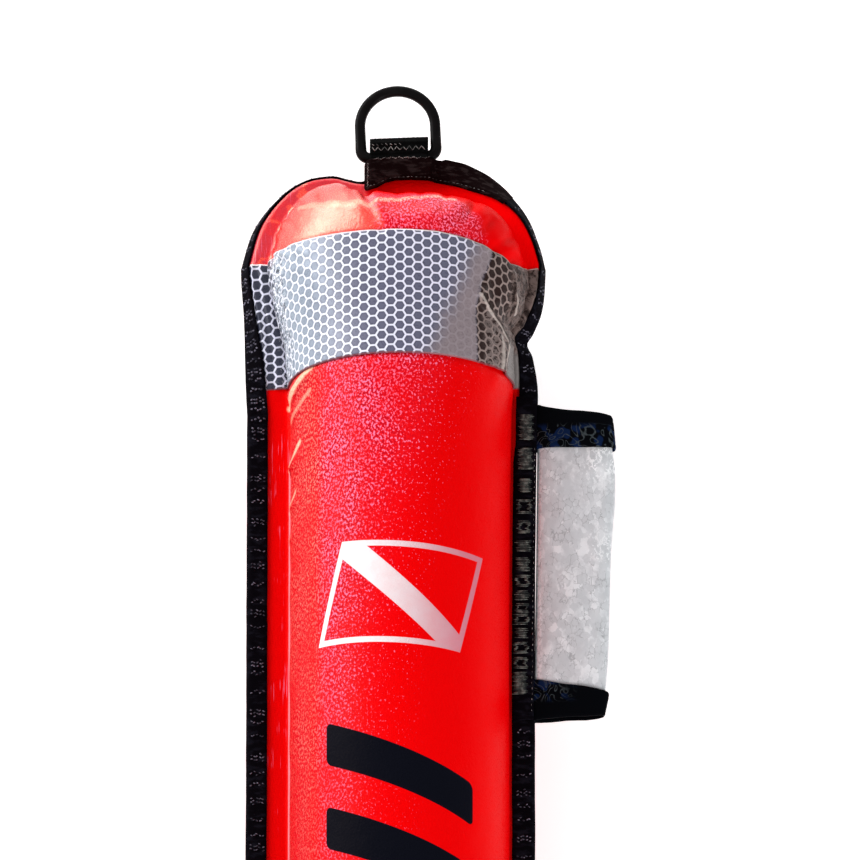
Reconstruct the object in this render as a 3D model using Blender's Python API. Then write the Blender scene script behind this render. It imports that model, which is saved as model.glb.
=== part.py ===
"""Inflatable surface marker buoy, lying on its back, filled with air.

The long axis runs along Y with the head at +Y, the printed front faces +Z, and the
origin is the middle of the flat strip that the back rests on. The functions below
take millimetres, and millimetres become metres when a mesh is made.
"""

import math

import bmesh
import bpy
from mathutils import Matrix, Vector

MM = 0.001

# Driving dimensions of the bladder, in mm
TUBE_RADIUS = 43.8
AXIS_HEIGHT = 42.2
HALF_LENGTH = 570.0
FAN_DEPTH = 45.0
PLY = 0.8
PLY_GAP = 0.3
TOUCH_GAP = 0.3
MARGIN_IN_TAPE = 8.2
DOME_STEPS = 6

# Tape that is folded over the welded edge
TAPE_START = 1.0
TAPE_GAP = 0.45
TAPE_THICK = 0.7

# Reflective band round the head
BAND_THICK = 0.35
BAND_TOP = 45.0
BAND_BOTTOM = 98.0

# Webbing tabs, the tape patches over their tails, and their rings
TAB_WIDTH = 23.6
TAB_THICK = 1.2
TAB_TAIL = 8.6
TAB_INNER = 2.5
TAB_REACH = 6.2
COVER_LENGTH = 10.8
COVER_HALF_WIDTH = 13.7
RING_BAR = 2.0
RING_HALF_WIDTH = 15.1
RING_HEIGHT = 27.8
RING_CORNER = 3.5
RING_BAR_OUT = 1.6

# Sleeve for a light stick on the right-hand edge
SLEEVE_TOP = 106.5
SLEEVE_BOTTOM = 235.0
SLEEVE_LEFT = 55.6
SLEEVE_WIDTH = 28.0
SLEEVE_NARROWING = 4.0
SLEEVE_HALF_THICK = 5.0
SLEEVE_WALL = 0.7
SLEEVE_SIDES = 20
CUFF_WIDTH = 14.0
CUFF_THICK = 0.9
CUFF_OVERHANG = 1.0
STRIP_LEFT = 45.9
STRIP_THICK = 1.0

# Oral inflation valve and relief valve, on the crown near the foot
INFLATOR_Y = -478.0
RELIEF_Y = -405.0
FLANGE_GAP = 0.6
FLANGE_THICK = 1.2
INFLATOR_HOLE = 7.4
RELIEF_HOLE = 12.4
VALVE_SIDES = 20
CAP_SLOTS = 6

# The head's welded seam from the right-hand side over the top to the left-hand side:
# x, distance down from the head's edge, width of the bare weld, droop of the tape
HEAD_SEAM = [
    (47.1, 36.2, 5.0, 76.0),
    (43.7, 29.3, 5.2, 70.0),
    (39.2, 24.6, 5.5, 60.0),
    (33.3, 21.2, 5.8, 44.0),
    (26.3, 19.1, 5.8, 24.0),
    (18.5, 17.3, 5.8, 6.0),
    (9.6, 16.4, 5.8, 0.0),
    (0.0, 16.2, 6.0, 0.0),
    (-7.6, 16.0, 5.8, 0.0),
    (-13.2, 16.2, 5.4, 2.0),
    (-18.0, 15.8, 5.0, 16.0),
    (-22.4, 14.4, 4.6, 36.0),
    (-27.4, 12.6, 4.0, 58.0),
    (-33.0, 13.2, 4.0, 72.0),
    (-38.5, 16.0, 4.4, 76.0),
    (-44.3, 22.8, 5.4, 74.0),
    (-49.2, 32.1, 6.2, 71.0),
]
TAPE_END_X = (-13.2, -18.0)

# Rows down the sides, from the head: distance from the head's edge, then x, weld and
# droop on the right, and the same on the left
SIDE_ROWS = [
    (45.0, 50.4, 4.2, 78.0, -52.2, 6.8, 68.0),
    (53.0, 50.0, 3.7, 74.0, -51.2, 7.0, 64.0),
    (61.0, 48.4, 3.2, 64.0, -49.8, 7.2, 58.0),
    (69.0, 45.8, 2.0, 56.0, -48.2, 7.6, 49.0),
    (76.0, 42.4, 1.8, 50.0, -46.8, 7.9, 38.0),
    (84.0, 44.2, 1.6, 42.0, -45.4, 8.2, 24.0),
    (98.0, 45.2, 1.2, 20.0, -44.4, 8.2, 8.0),
    (110.0, 44.6, 1.0, 4.0, -43.8, 8.2, 0.0),
    (236.0, 43.6, 1.0, 0.0, -43.8, 8.2, 0.0),
    (420.0, 43.6, 1.0, 0.0, -43.8, 8.2, 0.0),
    (640.0, 43.6, 1.0, 0.0, -43.8, 8.2, 0.0),
    (860.0, 43.6, 1.0, 0.0, -43.8, 8.2, 0.0),
    (1010.0, 43.8, 1.0, 0.0, -43.8, 8.2, 0.0),
    (1040.0, 44.6, 2.0, 8.0, -44.6, 7.8, 6.0),
    (1070.0, 48.4, 3.6, 28.0, -48.4, 6.8, 22.0),
    (1095.0, 51.6, 4.4, 40.0, -51.6, 5.6, 38.0),
]

# One half of the foot's seam, from the side to the middle, measured from the foot's edge
FOOT_SEAM = [
    (50.2, 34.5, 4.2, 38.0),
    (45.4, 24.5, 3.6, 32.0),
    (36.5, 16.6, 2.4, 20.0),
    (24.5, 12.4, 1.4, 6.0),
    (12.0, 11.3, 1.0, 0.0),
]
FOOT_MIDDLE = (0.0, 11.2, 1.0, 0.0)

COLOURS = {
    "coated_red": ((0.83, 0.012, 0.014), 0.34, 0.0),
    "reflective": ((0.42, 0.42, 0.47), 0.22, 0.3),
    "tape_black": ((0.012, 0.011, 0.013), 0.75, 0.0),
    "ring_black": ((0.012, 0.012, 0.013), 0.38, 0.0),
    "frosted_vinyl": ((0.56, 0.57, 0.59), 0.35, 0.0),
    "valve_black": ((0.015, 0.015, 0.017), 0.4, 0.0),
    "valve_grey": ((0.22, 0.22, 0.24), 0.45, 0.0),
    "seal_rubber": ((0.02, 0.02, 0.02), 0.8, 0.0),
    "spring_steel": ((0.6, 0.6, 0.62), 0.25, 1.0),
}


def clear_scene():
    for item in list(bpy.data.objects):
        bpy.data.objects.remove(item, do_unlink=True)


def material(name):
    found = bpy.data.materials.get(name)
    if found:
        return found
    colour, roughness, metallic = COLOURS[name]
    made = bpy.data.materials.new(name)
    made.use_nodes = True
    shader = made.node_tree.nodes["Principled BSDF"]
    shader.inputs["Base Color"].default_value = (*colour, 1.0)
    shader.inputs["Roughness"].default_value = roughness
    shader.inputs["Metallic"].default_value = metallic
    return made


def add_object(name, bm, colour, sharp_angle=35.0):
    """Turns a bmesh in mm into a named object in metres, with its faces pointing out."""
    bm.normal_update()
    bmesh.ops.triangulate(bm, faces=bm.faces[:])
    bmesh.ops.scale(bm, vec=(MM, MM, MM), verts=bm.verts[:])
    bmesh.ops.recalc_face_normals(bm, faces=bm.faces[:])
    mesh = bpy.data.meshes.new(name)
    bm.to_mesh(mesh)
    bm.free()
    mesh.shade_smooth()
    mesh.set_sharp_from_angle(angle=math.radians(sharp_angle))
    made = bpy.data.objects.new(name, mesh)
    made.data.materials.append(material(colour))
    bpy.context.scene.collection.objects.link(made)
    return made


def loft(name, rings, colour, closed=False, sharp_angle=35.0, lean=None):
    """Joins closed rings of points into a solid: capped at its ends, or closed on itself.

    lean says, for each side of the rings, whether its faces are split from the far corner;
    pieces that lie on one another need the same split to keep their gap.
    """
    bm = bmesh.new()
    rows = [[bm.verts.new(p) for p in ring] for ring in rings]
    pairs = list(zip(rows, rows[1:]))
    if closed:
        pairs.append((rows[-1], rows[0]))
    for a, b in pairs:
        for i in range(len(a)):
            j = (i + 1) % len(a)
            if lean is None:
                bm.faces.new((a[i], a[j], b[j], b[i]))
            elif lean[i]:
                bm.faces.new((a[i], a[j], b[i]))
                bm.faces.new((a[j], b[j], b[i]))
            else:
                bm.faces.new((a[i], a[j], b[j]))
                bm.faces.new((a[i], b[j], b[i]))
    if not closed:
        bm.faces.new(list(reversed(rows[0])))
        bm.faces.new(rows[-1])
    return add_object(name, bm, colour, sharp_angle)


def turned(name, profile, centre, colour, segments=VALVE_SIDES):
    """Spins a closed profile of (radius, height) points about the vertical line through centre."""
    bm = bmesh.new()
    cx, cy, cz = centre
    verts = [bm.verts.new((cx + r, cy, cz + z)) for r, z in profile]
    edges = []
    for i in range(len(verts)):
        j = (i + 1) % len(verts)
        if profile[i][0] > 0 or profile[j][0] > 0:
            edges.append(bm.edges.new((verts[i], verts[j])))
    bmesh.ops.spin(
        bm,
        geom=verts + edges,
        cent=Vector(centre),
        axis=(0, 0, 1),
        angle=2 * math.pi,
        steps=segments,
        use_merge=True,
    )
    bmesh.ops.remove_doubles(bm, verts=bm.verts[:], dist=0.0005)
    return add_object(name, bm, colour)


# The bladder: a seam that runs right round, with a spine down its middle


class Station:
    """One point of the seam, with the spine point that its cross-section starts from."""

    def __init__(self, x, y, weld, droop, spine_y, height):
        self.root = Vector((x, y))
        self.spine = Vector((0.0, spine_y))
        self.weld = weld
        self.droop = math.radians(droop)
        self.height = height
        self.out = Vector((0.0, 0.0))

    def reach(self):
        return (self.root - self.spine).length

    def end_share(self):
        """0 on the sides and 1 where the section runs along the buoy's length."""
        return abs((self.root - self.spine).normalized().y)


def spine_height(distance):
    """Height of the crown above the seam: a little lower where the ends are wide."""
    from_end = min(distance, 2 * HALF_LENGTH - distance)
    share = max(0.0, min(1.0, (from_end - FAN_DEPTH) / FAN_DEPTH))
    return TUBE_RADIUS - 1.5 * (1.0 - share)


def seam_stations():
    """The seam's stations, anticlockwise seen from above, from the foot's middle."""
    head_spine = HALF_LENGTH - FAN_DEPTH
    end_height = spine_height(FAN_DEPTH)
    right, left, head, foot = [], [], [], []
    for d, xr, weld_r, droop_r, xl, weld_l, droop_l in SIDE_ROWS:
        y = HALF_LENGTH - d
        right.append(Station(xr, y, weld_r, droop_r, y, spine_height(d)))
        left.append(Station(xl, y, weld_l, droop_l, y, spine_height(d)))
    for x, d, weld, droop in HEAD_SEAM:
        head.append(Station(x, HALF_LENGTH - d, weld, droop, head_spine, end_height))
    left_half = [(-x, d, weld, droop) for x, d, weld, droop in FOOT_SEAM]
    for x, d, weld, droop in left_half + [FOOT_MIDDLE] + FOOT_SEAM[::-1]:
        foot.append(Station(x, d - HALF_LENGTH, weld, droop, -head_spine, end_height))
    stations = foot + right[::-1] + head + left
    count = len(stations)
    for i, station in enumerate(stations):
        along = stations[(i + 2) % count].root - stations[i - 2].root
        station.out = Vector((along.y, -along.x)).normalized()
    return stations


def floor_under(y):
    """The back rests on a flat strip, a touch higher where the band lies under it."""
    d = HALF_LENGTH - y
    lift = BAND_THICK + TOUCH_GAP
    near = max(0.0, BAND_TOP - d, d - BAND_BOTTOM)
    return lift * max(0.0, 1.0 - near / 10.0)


def dome_point(station, step, side, offset, seated):
    """A point of the inflated skin, offset out from the ply's outer face."""
    angle = 0.5 * math.pi * step / DOME_STEPS
    reach = station.reach() + offset
    flat = station.spine + (station.root - station.spine).normalized() * reach * math.sin(angle)
    fullness = 1.0 + 0.35 * station.end_share() ** 2
    lift = math.cos(angle) ** fullness if step < DOME_STEPS else 0.0
    base = PLY_GAP / 2 + PLY + offset
    z = AXIS_HEIGHT + side * (base + (station.height - PLY_GAP / 2 - PLY) * lift)
    if side < 0 and seated is not None:
        z = max(z, seated(flat.y) - offset)
    return Vector((flat.x, flat.y, z))


def edge_frame(station):
    """Where the tape's fold starts, and the directions along and square to the drooping edge."""
    start = station.root + station.out * station.weld
    out = Vector((station.out.x, station.out.y, 0.0))
    up = Vector((0.0, 0.0, 1.0))
    along = out * math.cos(station.droop) - up * math.sin(station.droop)
    square = out * math.sin(station.droop) + up * math.cos(station.droop)
    return Vector((start.x, start.y, AXIS_HEIGHT)), along, square


def margin_points(station, side, offset):
    """The two points of the welded margin outside the seam: at the tape's edge and at the rim."""
    start, along, square = edge_frame(station)
    rise = side * (PLY_GAP / 2 + PLY + offset)
    out = Vector((station.out.x, station.out.y, 0.0))
    bend = start + Vector((0, 0, rise)) + out * rise * math.tan(station.droop / 2)
    rim = start + along * MARGIN_IN_TAPE + square * rise
    return bend, rim


def skin(station, side, offset, upto="rim"):
    """Points from next to the spine to the seam, the tape's edge or the rim, on one face."""
    points = [
        dome_point(station, k, side, offset, floor_under) for k in range(1, DOME_STEPS + 1)
    ]
    bend, rim = margin_points(station, side, offset)
    if upto != "seam":
        points.append(bend)
    if upto == "rim":
        points.append(rim)
    return points


def spine_point(station, side, offset):
    return dome_point(station, 0, side, offset, floor_under)


def panel(name, stations, side):
    """One ply of the bladder: an outer and an inner face, joined round the rim."""
    bm = bmesh.new()
    faces = []
    for offset in (0.0, -PLY):
        spines = {}
        rows = []
        for station in stations:
            key = round(station.spine.y, 3)
            if key not in spines:
                spines[key] = bm.verts.new(spine_point(station, side, offset))
            row = [spines[key]]
            row += [bm.verts.new(p) for p in skin(station, side, offset)]
            rows.append(row)
        faces.append(rows)
        for a, b in zip(rows, rows[1:] + rows[:1]):
            for k in range(len(a) - 1):
                corners = [a[k], a[k + 1], b[k + 1], b[k]]
                if a[k] is b[k]:
                    corners.pop()
                for i in range(2, len(corners)):
                    bm.faces.new((corners[0], corners[i - 1], corners[i]))
    outer, inner = faces
    for i in range(len(outer)):
        j = (i + 1) % len(outer)
        bm.faces.new((outer[i][-1], outer[j][-1], inner[j][-1]))
        bm.faces.new((outer[i][-1], inner[j][-1], inner[i][-1]))
    return add_object(name, bm, "coated_red", 50.0)


def reflective_band(name, stations, side):
    """A strip that follows the skin across the front or the back, from edge to edge."""
    upto = "tape" if side > 0 else "seam"
    rows = {}
    for station in stations:
        d = HALF_LENGTH - station.spine.y
        straight = abs(station.root.y - station.spine.y) < 0.01
        if straight and BAND_TOP - 0.01 <= d <= BAND_BOTTOM + 0.01:
            rows.setdefault(round(d, 3), {})[station.root.x > 0] = station
    rings = []
    for d in sorted(rows):
        left, right = rows[d][False], rows[d][True]
        lines = []
        for offset in (TOUCH_GAP, TOUCH_GAP + BAND_THICK):
            line = skin(left, side, offset, upto)[::-1]
            line.append(spine_point(left, side, offset))
            line += skin(right, side, offset, upto)
            lines.append(line)
        rings.append(lines[0] + lines[1][::-1])
    across = len(rings[0]) // 2
    return loft(name, rings, "reflective", lean=[k < across for k in range(2 * across)])


def edge_binding(stations):
    """Tape folded round both plies' rims, with its two cut ends meeting at the head."""
    first = next(i for i, s in enumerate(stations) if abs(s.root.x - TAPE_END_X[1]) < 0.01)
    run = stations[first:] + stations[:first]
    last = next(i for i, s in enumerate(run) if abs(s.root.x - TAPE_END_X[0]) < 0.01)
    inner = PLY_GAP / 2 + PLY + TAPE_GAP
    outer = inner + TAPE_THICK
    web = MARGIN_IN_TAPE + TOUCH_GAP
    end = web + TAPE_THICK
    section = [
        (TAPE_START, inner),
        (TAPE_START, outer),
        (end, outer),
        (end, -outer),
        (TAPE_START, -outer),
        (TAPE_START, -inner),
        (web, -inner),
        (web, inner),
    ]
    rings = []
    for station in run[: last + 1]:
        start, along, square = edge_frame(station)
        rings.append([start + along * a + square * b for a, b in section])
    inward = [b[0] < a[0] for a, b in zip(section, section[1:] + section[:1])]
    return loft("edge_binding", rings, "tape_black", lean=inward)


# Webbing tabs with their rings, one at each end


def webbing_tab(name, end, centre_x):
    """Webbing folded over the ring's bar, with a tail on each side of the bound edge."""
    outer = TAB_INNER + TAB_THICK
    steps = 8
    outside = [(-TAB_TAIL, outer)]
    inside = [(-TAB_TAIL, TAB_INNER)]
    for k in range(steps + 1):
        angle = math.pi * (0.5 - k / steps)
        outside.append((TAB_REACH + outer * math.cos(angle), outer * math.sin(angle)))
        inside.append((TAB_REACH + TAB_INNER * math.cos(angle), TAB_INNER * math.sin(angle)))
    outside.append((-TAB_TAIL, -outer))
    inside.append((-TAB_TAIL, -TAB_INNER))
    rings = []
    for x in (centre_x - TAB_WIDTH / 2, centre_x + TAB_WIDTH / 2):
        section = outside + inside[::-1]
        rings.append([Vector((x, end * (HALF_LENGTH + y), AXIS_HEIGHT + z)) for y, z in section])
    return loft(name, rings, "tape_black")


def tab_cover(name, end, side, centre_x):
    """A short length of tape sewn flat over one tail of a webbing tab."""
    corner = 1.6
    w, near, far = COVER_HALF_WIDTH, COVER_LENGTH, 0.4
    outline = [
        (-w, near),
        (w, near),
        (w, far + corner),
        (w - corner, far),
        (corner - w, far),
        (-w, far + corner),
    ]
    low = TAB_INNER + TAB_THICK + TOUCH_GAP
    rings = []
    for level in (low, low + TAPE_THICK):
        z = AXIS_HEIGHT + side * level
        rings.append([Vector((centre_x + x, end * (HALF_LENGTH - d), z)) for x, d in outline])
    return loft(name, rings, "tape_black")


def arc(centre, radius, start, sweep, steps):
    """Points of an arc in degrees, both ends included."""
    points = []
    for k in range(steps + 1):
        angle = math.radians(start + sweep * k / steps)
        points.append((centre[0] + radius * math.cos(angle), centre[1] + radius * math.sin(angle)))
    return points


def ring_path():
    """The ring's centre line: x, and distance out from the bar's axis."""
    side = RING_HALF_WIDTH - RING_CORNER
    points = arc((side, RING_CORNER), RING_CORNER, -90, 90, 3)
    points += arc((0.0, RING_HEIGHT - RING_HALF_WIDTH), RING_HALF_WIDTH, 0, 180, 13)
    points += arc((-side, RING_CORNER), RING_CORNER, 180, 90, 3)
    return points


def d_ring(name, end, centre_x):
    """A moulded ring with a straight bar and a half-round bow, its origin on the bar's axis."""
    path = ring_path()
    sides = 8
    rings = []
    for i, (x, y) in enumerate(path):
        ahead = path[(i + 1) % len(path)]
        behind = path[i - 1]
        along = Vector((ahead[0] - behind[0], ahead[1] - behind[1])).normalized()
        out = Vector((along.y, -along.x, 0.0))
        ring = []
        for k in range(sides):
            angle = 2 * math.pi * (k + 0.5) / sides
            spot = Vector((x, y, 0.0)) + out * RING_BAR * math.cos(angle)
            spot.z = RING_BAR * math.sin(angle)
            ring.append(Vector((spot.x, end * spot.y, spot.z)))
        rings.append(ring)
    made = loft(name, rings, "ring_black", closed=True, sharp_angle=60.0)
    axis_y = end * (HALF_LENGTH + RING_BAR_OUT)
    made.location = (centre_x * MM, axis_y * MM, AXIS_HEIGHT * MM)
    return made


# Sleeve on the right-hand edge: a flattened tube that is open at both ends


def sleeve_ring(distance, offset):
    """One cross-section of the sleeve, pushed out or in by offset."""
    share = (distance - SLEEVE_TOP) / (SLEEVE_BOTTOM - SLEEVE_TOP)
    width = SLEEVE_WIDTH - SLEEVE_NARROWING * share
    middle = SLEEVE_LEFT + CUFF_THICK + TOUCH_GAP + width / 2
    ring = []
    for k in range(SLEEVE_SIDES):
        angle = 2 * math.pi * k / SLEEVE_SIDES
        x = middle + (width / 2 + offset) * math.cos(angle)
        z = AXIS_HEIGHT + (SLEEVE_HALF_THICK + offset) * math.sin(angle)
        ring.append(Vector((x, HALF_LENGTH - distance, z)))
    return ring


def open_tube(name, distances, inner, outer, colour):
    """A sleeve wall between two offsets, open at both ends."""
    rings = [sleeve_ring(d, outer) for d in distances]
    rings += [sleeve_ring(d, inner) for d in distances[::-1]]
    return loft(name, rings, colour, closed=True, sharp_angle=50.0)


def light_sleeve():
    """The pale sleeve and the two black cuffs that bind its open ends."""
    span = SLEEVE_BOTTOM - SLEEVE_TOP
    rows = [SLEEVE_TOP + span * k / 3 for k in range(4)]
    open_tube("light_sleeve", rows, -SLEEVE_WALL, 0.0, "frosted_vinyl")
    top = SLEEVE_TOP - CUFF_OVERHANG
    bottom = SLEEVE_BOTTOM + CUFF_OVERHANG
    near, far = TOUCH_GAP, TOUCH_GAP + CUFF_THICK
    open_tube("sleeve_upper_cuff", [top, top + CUFF_WIDTH], near, far, "tape_black")
    open_tube("sleeve_lower_cuff", [bottom - CUFF_WIDTH, bottom], near, far, "tape_black")


def sleeve_strip():
    """The flat webbing strip, sewn over the bound edge, that the sleeve hangs from."""
    low = AXIS_HEIGHT + PLY_GAP / 2 + PLY + TAPE_GAP + TAPE_THICK + TOUCH_GAP
    high = low + STRIP_THICK
    right = SLEEVE_LEFT + TOUCH_GAP
    corners = [(STRIP_LEFT, low), (right, low), (right, high), (STRIP_LEFT, high)]
    rings = []
    for d in (SLEEVE_TOP + 4.0, SLEEVE_BOTTOM):
        rings.append([Vector((x, HALF_LENGTH - d, z)) for x, z in corners])
    return loft("sleeve_strip", rings, "tape_black")


# Valves on the crown


CROWN = AXIS_HEIGHT + TUBE_RADIUS


def on_crown(radius, turn, y, level):
    """A point at a level above the tube's skin, at a radius from a valve's axis."""
    bend = radius * math.cos(turn) / TUBE_RADIUS
    out = TUBE_RADIUS + level
    x = out * math.sin(bend)
    return Vector((x, y + radius * math.sin(turn), AXIS_HEIGHT + out * math.cos(bend)))


def crown_patch(name, radius, hole, y):
    """A welded flange: a round washer that follows the tube's curve."""
    low, high = FLANGE_GAP, FLANGE_GAP + FLANGE_THICK
    profile = [(hole, low), (radius, low), (radius, high - 0.6), (radius - 1.2, high)]
    profile.append((hole, high))
    segments = 28
    rings = []
    for k in range(segments):
        turn = 2 * math.pi * k / segments
        rings.append([on_crown(r, turn, y, level) for r, level in profile])
    return loft(name, rings, "coated_red", closed=True)


def hole_cutter(name, radius, y):
    """A hidden cylinder, upright through the crown, that a Boolean takes away from a piece."""
    bm = bmesh.new()
    bmesh.ops.create_cone(
        bm, cap_ends=True, segments=24, radius1=radius, radius2=radius, depth=30.0
    )
    made = add_object(name, bm, "valve_grey")
    made.location = Vector((0.0, y, CROWN)) * MM
    made.hide_render = True
    made.display_type = "WIRE"
    return made


def cut(piece, cutter):
    step = piece.modifiers.new("cut_" + cutter.name, "BOOLEAN")
    step.operation = "DIFFERENCE"
    step.object = cutter


def coil_spring(name, radii, heights, turns, wire, centre):
    """A coil between two heights above centre, as a curve with a round section."""
    curve = bpy.data.curves.new(name, "CURVE")
    curve.dimensions = "3D"
    curve.bevel_depth = wire * MM
    curve.bevel_resolution = 0
    curve.use_fill_caps = True
    per_turn = 8
    count = turns * per_turn + 1
    line = curve.splines.new("POLY")
    line.points.add(count - 1)
    for k in range(count):
        share = k / (count - 1)
        angle = 2 * math.pi * k / per_turn
        radius = radii[0] + (radii[1] - radii[0]) * share
        height = heights[0] + (heights[1] - heights[0]) * share
        spot = centre + Vector((radius * math.cos(angle), radius * math.sin(angle), height))
        line.points[k].co = (*(spot * MM), 1.0)
    made = bpy.data.objects.new(name, curve)
    curve.materials.append(material("spring_steel"))
    bpy.context.scene.collection.objects.link(made)
    return made


def oral_inflator():
    """Push-to-open mouthpiece on a barrel, with a ring that locks it shut."""
    centre = Vector((0.0, INFLATOR_Y, CROWN))
    crown_patch("inflator_flange", 18.0, 7.5, INFLATOR_Y)
    barrel = [
        (3.4, -6.0),
        (7.0, -6.0),
        (7.0, 2.2),
        (9.2, 2.2),
        (9.2, 4.8),
        (7.0, 4.8),
        (7.0, 17.0),
        (5.0, 17.0),
        (5.0, 2.2),
        (2.2, 2.2),
        (2.2, 0.5),
        (4.8, 0.5),
        (4.8, -3.0),
        (3.4, -4.4),
    ]
    turned("inflator_barrel", barrel, centre, "valve_black")
    lock = [(7.4, 6.0), (9.4, 6.0), (9.8, 6.4), (9.8, 9.6), (9.4, 10.0), (7.4, 10.0)]
    turned("inflator_lock_ring", lock, centre, "valve_grey")
    mouthpiece = [
        (7.4, 15.4),
        (8.8, 15.4),
        (9.0, 16.0),
        (9.0, 22.4),
        (8.2, 23.6),
        (6.6, 24.4),
        (6.2, 30.0),
        (7.6, 34.6),
        (7.6, 36.0),
        (6.8, 36.8),
        (4.3, 36.8),
        (4.3, 23.6),
        (7.4, 22.8),
    ]
    turned("inflator_mouthpiece", mouthpiece, centre, "valve_black")
    stem = [
        (0.0, -9.2),
        (4.6, -9.2),
        (4.6, -7.8),
        (1.4, -7.8),
        (1.4, 19.6),
        (3.9, 20.2),
        (3.9, 21.4),
        (0.0, 21.4),
    ]
    turned("inflator_stem", stem, centre, "valve_grey", 16)
    seal = [(1.8, -7.5), (5.6, -7.5), (5.6, -6.3), (1.8, -6.3)]
    turned("inflator_seal", seal, centre, "seal_rubber", 16)
    coil_spring("inflator_spring", (3.2, 3.2), (2.9, 19.0), 5, 0.45, centre)


def relief_base():
    """The relief valve's body; its rim follows the flange that it sits on."""
    seat = FLANGE_GAP + FLANGE_THICK + TOUCH_GAP
    above = [
        (16.0, 3.6),
        (13.6, 4.2),
        (13.6, 7.4),
        (12.4, 7.4),
        (12.4, 3.4),
        (10.4, 3.4),
        (10.4, 4.4),
        (9.0, 4.4),
        (9.0, -4.0),
        (12.0, -4.0),
    ]
    segments = 24
    rings = []
    for k in range(segments):
        turn = 2 * math.pi * k / segments
        spoke = Vector((math.cos(turn), math.sin(turn), 0.0))
        centre = Vector((0.0, RELIEF_Y, CROWN))
        ring = [centre + spoke * r + Vector((0.0, 0.0, z)) for r, z in above]
        ring += [on_crown(r, turn, RELIEF_Y, seat) for r in (12.0, 16.0)]
        rings.append(ring)
    return loft("relief_base", rings, "valve_black", closed=True)


def cap_slots():
    """Hidden bars, set round the cap, that cut its vents."""
    bm = bmesh.new()
    for k in range(CAP_SLOTS):
        turn = 2 * math.pi * (k + 0.5) / CAP_SLOTS
        verts = bmesh.ops.create_cube(bm, size=1.0)["verts"]
        bmesh.ops.scale(bm, vec=(5.0, 2.0, 8.0), verts=verts)
        bmesh.ops.translate(bm, vec=(7.2, 0.0, 11.0), verts=verts)
        bmesh.ops.rotate(bm, cent=(0, 0, 0), matrix=Matrix.Rotation(turn, 3, "Z"), verts=verts)
    made = add_object("slot_cutter", bm, "valve_grey")
    made.location = Vector((0.0, RELIEF_Y, CROWN)) * MM
    made.hide_render = True
    made.display_type = "WIRE"
    return made


def relief_valve():
    """Spring-loaded disc under a slotted cap, with a knob that lifts it to let gas out."""
    centre = Vector((0.0, RELIEF_Y, CROWN))
    crown_patch("relief_flange", 23.0, 12.5, RELIEF_Y)
    relief_base()
    cap = [
        (1.8, 10.0),
        (11.9, 10.0),
        (12.1, 7.7),
        (14.0, 7.7),
        (14.0, 4.7),
        (16.0, 4.3),
        (16.4, 5.0),
        (16.4, 8.4),
        (14.8, 10.8),
        (10.0, 12.0),
        (1.8, 12.2),
    ]
    cut(turned("relief_cap", cap, centre, "valve_black", 24), cap_slots())
    seal = [(8.6, 4.7), (11.4, 4.7), (11.4, 5.5), (8.6, 5.5)]
    turned("relief_seal", seal, centre, "seal_rubber")
    disc = [
        (0.0, 5.0),
        (8.2, 5.0),
        (8.2, 5.8),
        (11.5, 5.8),
        (11.5, 7.0),
        (1.4, 7.0),
        (1.4, 13.6),
        (0.0, 13.6),
    ]
    turned("relief_disc", disc, centre, "valve_grey")
    knob = [(0.0, 13.9), (4.6, 13.9), (5.4, 14.7), (5.4, 17.4), (4.2, 18.6), (0.0, 19.0)]
    turned("relief_knob", knob, centre, "valve_grey")
    coil_spring("relief_spring", (6.2, 3.4), (7.4, 9.6), 3, 0.3, centre)


def main():
    clear_scene()
    stations = seam_stations()
    front = panel("front_panel", stations, 1)
    cut(front, hole_cutter("inflator_hole", INFLATOR_HOLE, INFLATOR_Y))
    cut(front, hole_cutter("relief_hole", RELIEF_HOLE, RELIEF_Y))
    panel("back_panel", stations, -1)
    reflective_band("reflective_band_front", stations, 1)
    reflective_band("reflective_band_back", stations, -1)
    edge_binding(stations)
    for label, end, x in (("head", 1, -0.5), ("foot", -1, 0.0)):
        webbing_tab(label + "_tab", end, x)
        tab_cover(label + "_cover_front", end, 1, x)
        tab_cover(label + "_cover_back", end, -1, x)
        d_ring(label + "_ring", end, x)
    light_sleeve()
    sleeve_strip()
    oral_inflator()
    relief_valve()


main()
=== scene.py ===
"""Dressed model of an inflatable surface marker buoy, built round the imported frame.

The functions below take millimetres in the frame's own axes: +Y towards the head, +Z out
of the printed front. Millimetres become metres when a mesh is made.
"""

import math

import bmesh
import bpy
import numpy as np
from mathutils import Matrix, Vector, noise


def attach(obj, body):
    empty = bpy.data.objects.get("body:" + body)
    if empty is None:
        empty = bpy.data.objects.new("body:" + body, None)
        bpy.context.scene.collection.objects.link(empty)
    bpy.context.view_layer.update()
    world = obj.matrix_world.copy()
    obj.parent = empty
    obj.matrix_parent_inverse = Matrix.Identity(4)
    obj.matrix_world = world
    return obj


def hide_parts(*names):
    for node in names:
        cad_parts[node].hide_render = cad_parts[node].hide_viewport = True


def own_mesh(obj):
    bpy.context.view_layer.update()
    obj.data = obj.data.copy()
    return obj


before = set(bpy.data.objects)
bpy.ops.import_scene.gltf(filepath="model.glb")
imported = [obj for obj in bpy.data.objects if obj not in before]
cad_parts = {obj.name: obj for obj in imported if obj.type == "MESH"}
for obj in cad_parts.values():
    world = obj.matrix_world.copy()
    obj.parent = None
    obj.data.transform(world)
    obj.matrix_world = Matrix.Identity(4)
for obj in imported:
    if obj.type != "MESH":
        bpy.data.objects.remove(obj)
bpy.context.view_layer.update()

MM = 0.001

# The photograph's frame: pixels to millimetres at the height of the welded edge
PIXEL = 0.40
PIXEL_ALONG = 0.4255
PHOTO_X = 400.0
PHOTO_Y = 160.0
TILT = math.radians(20.0)

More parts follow.
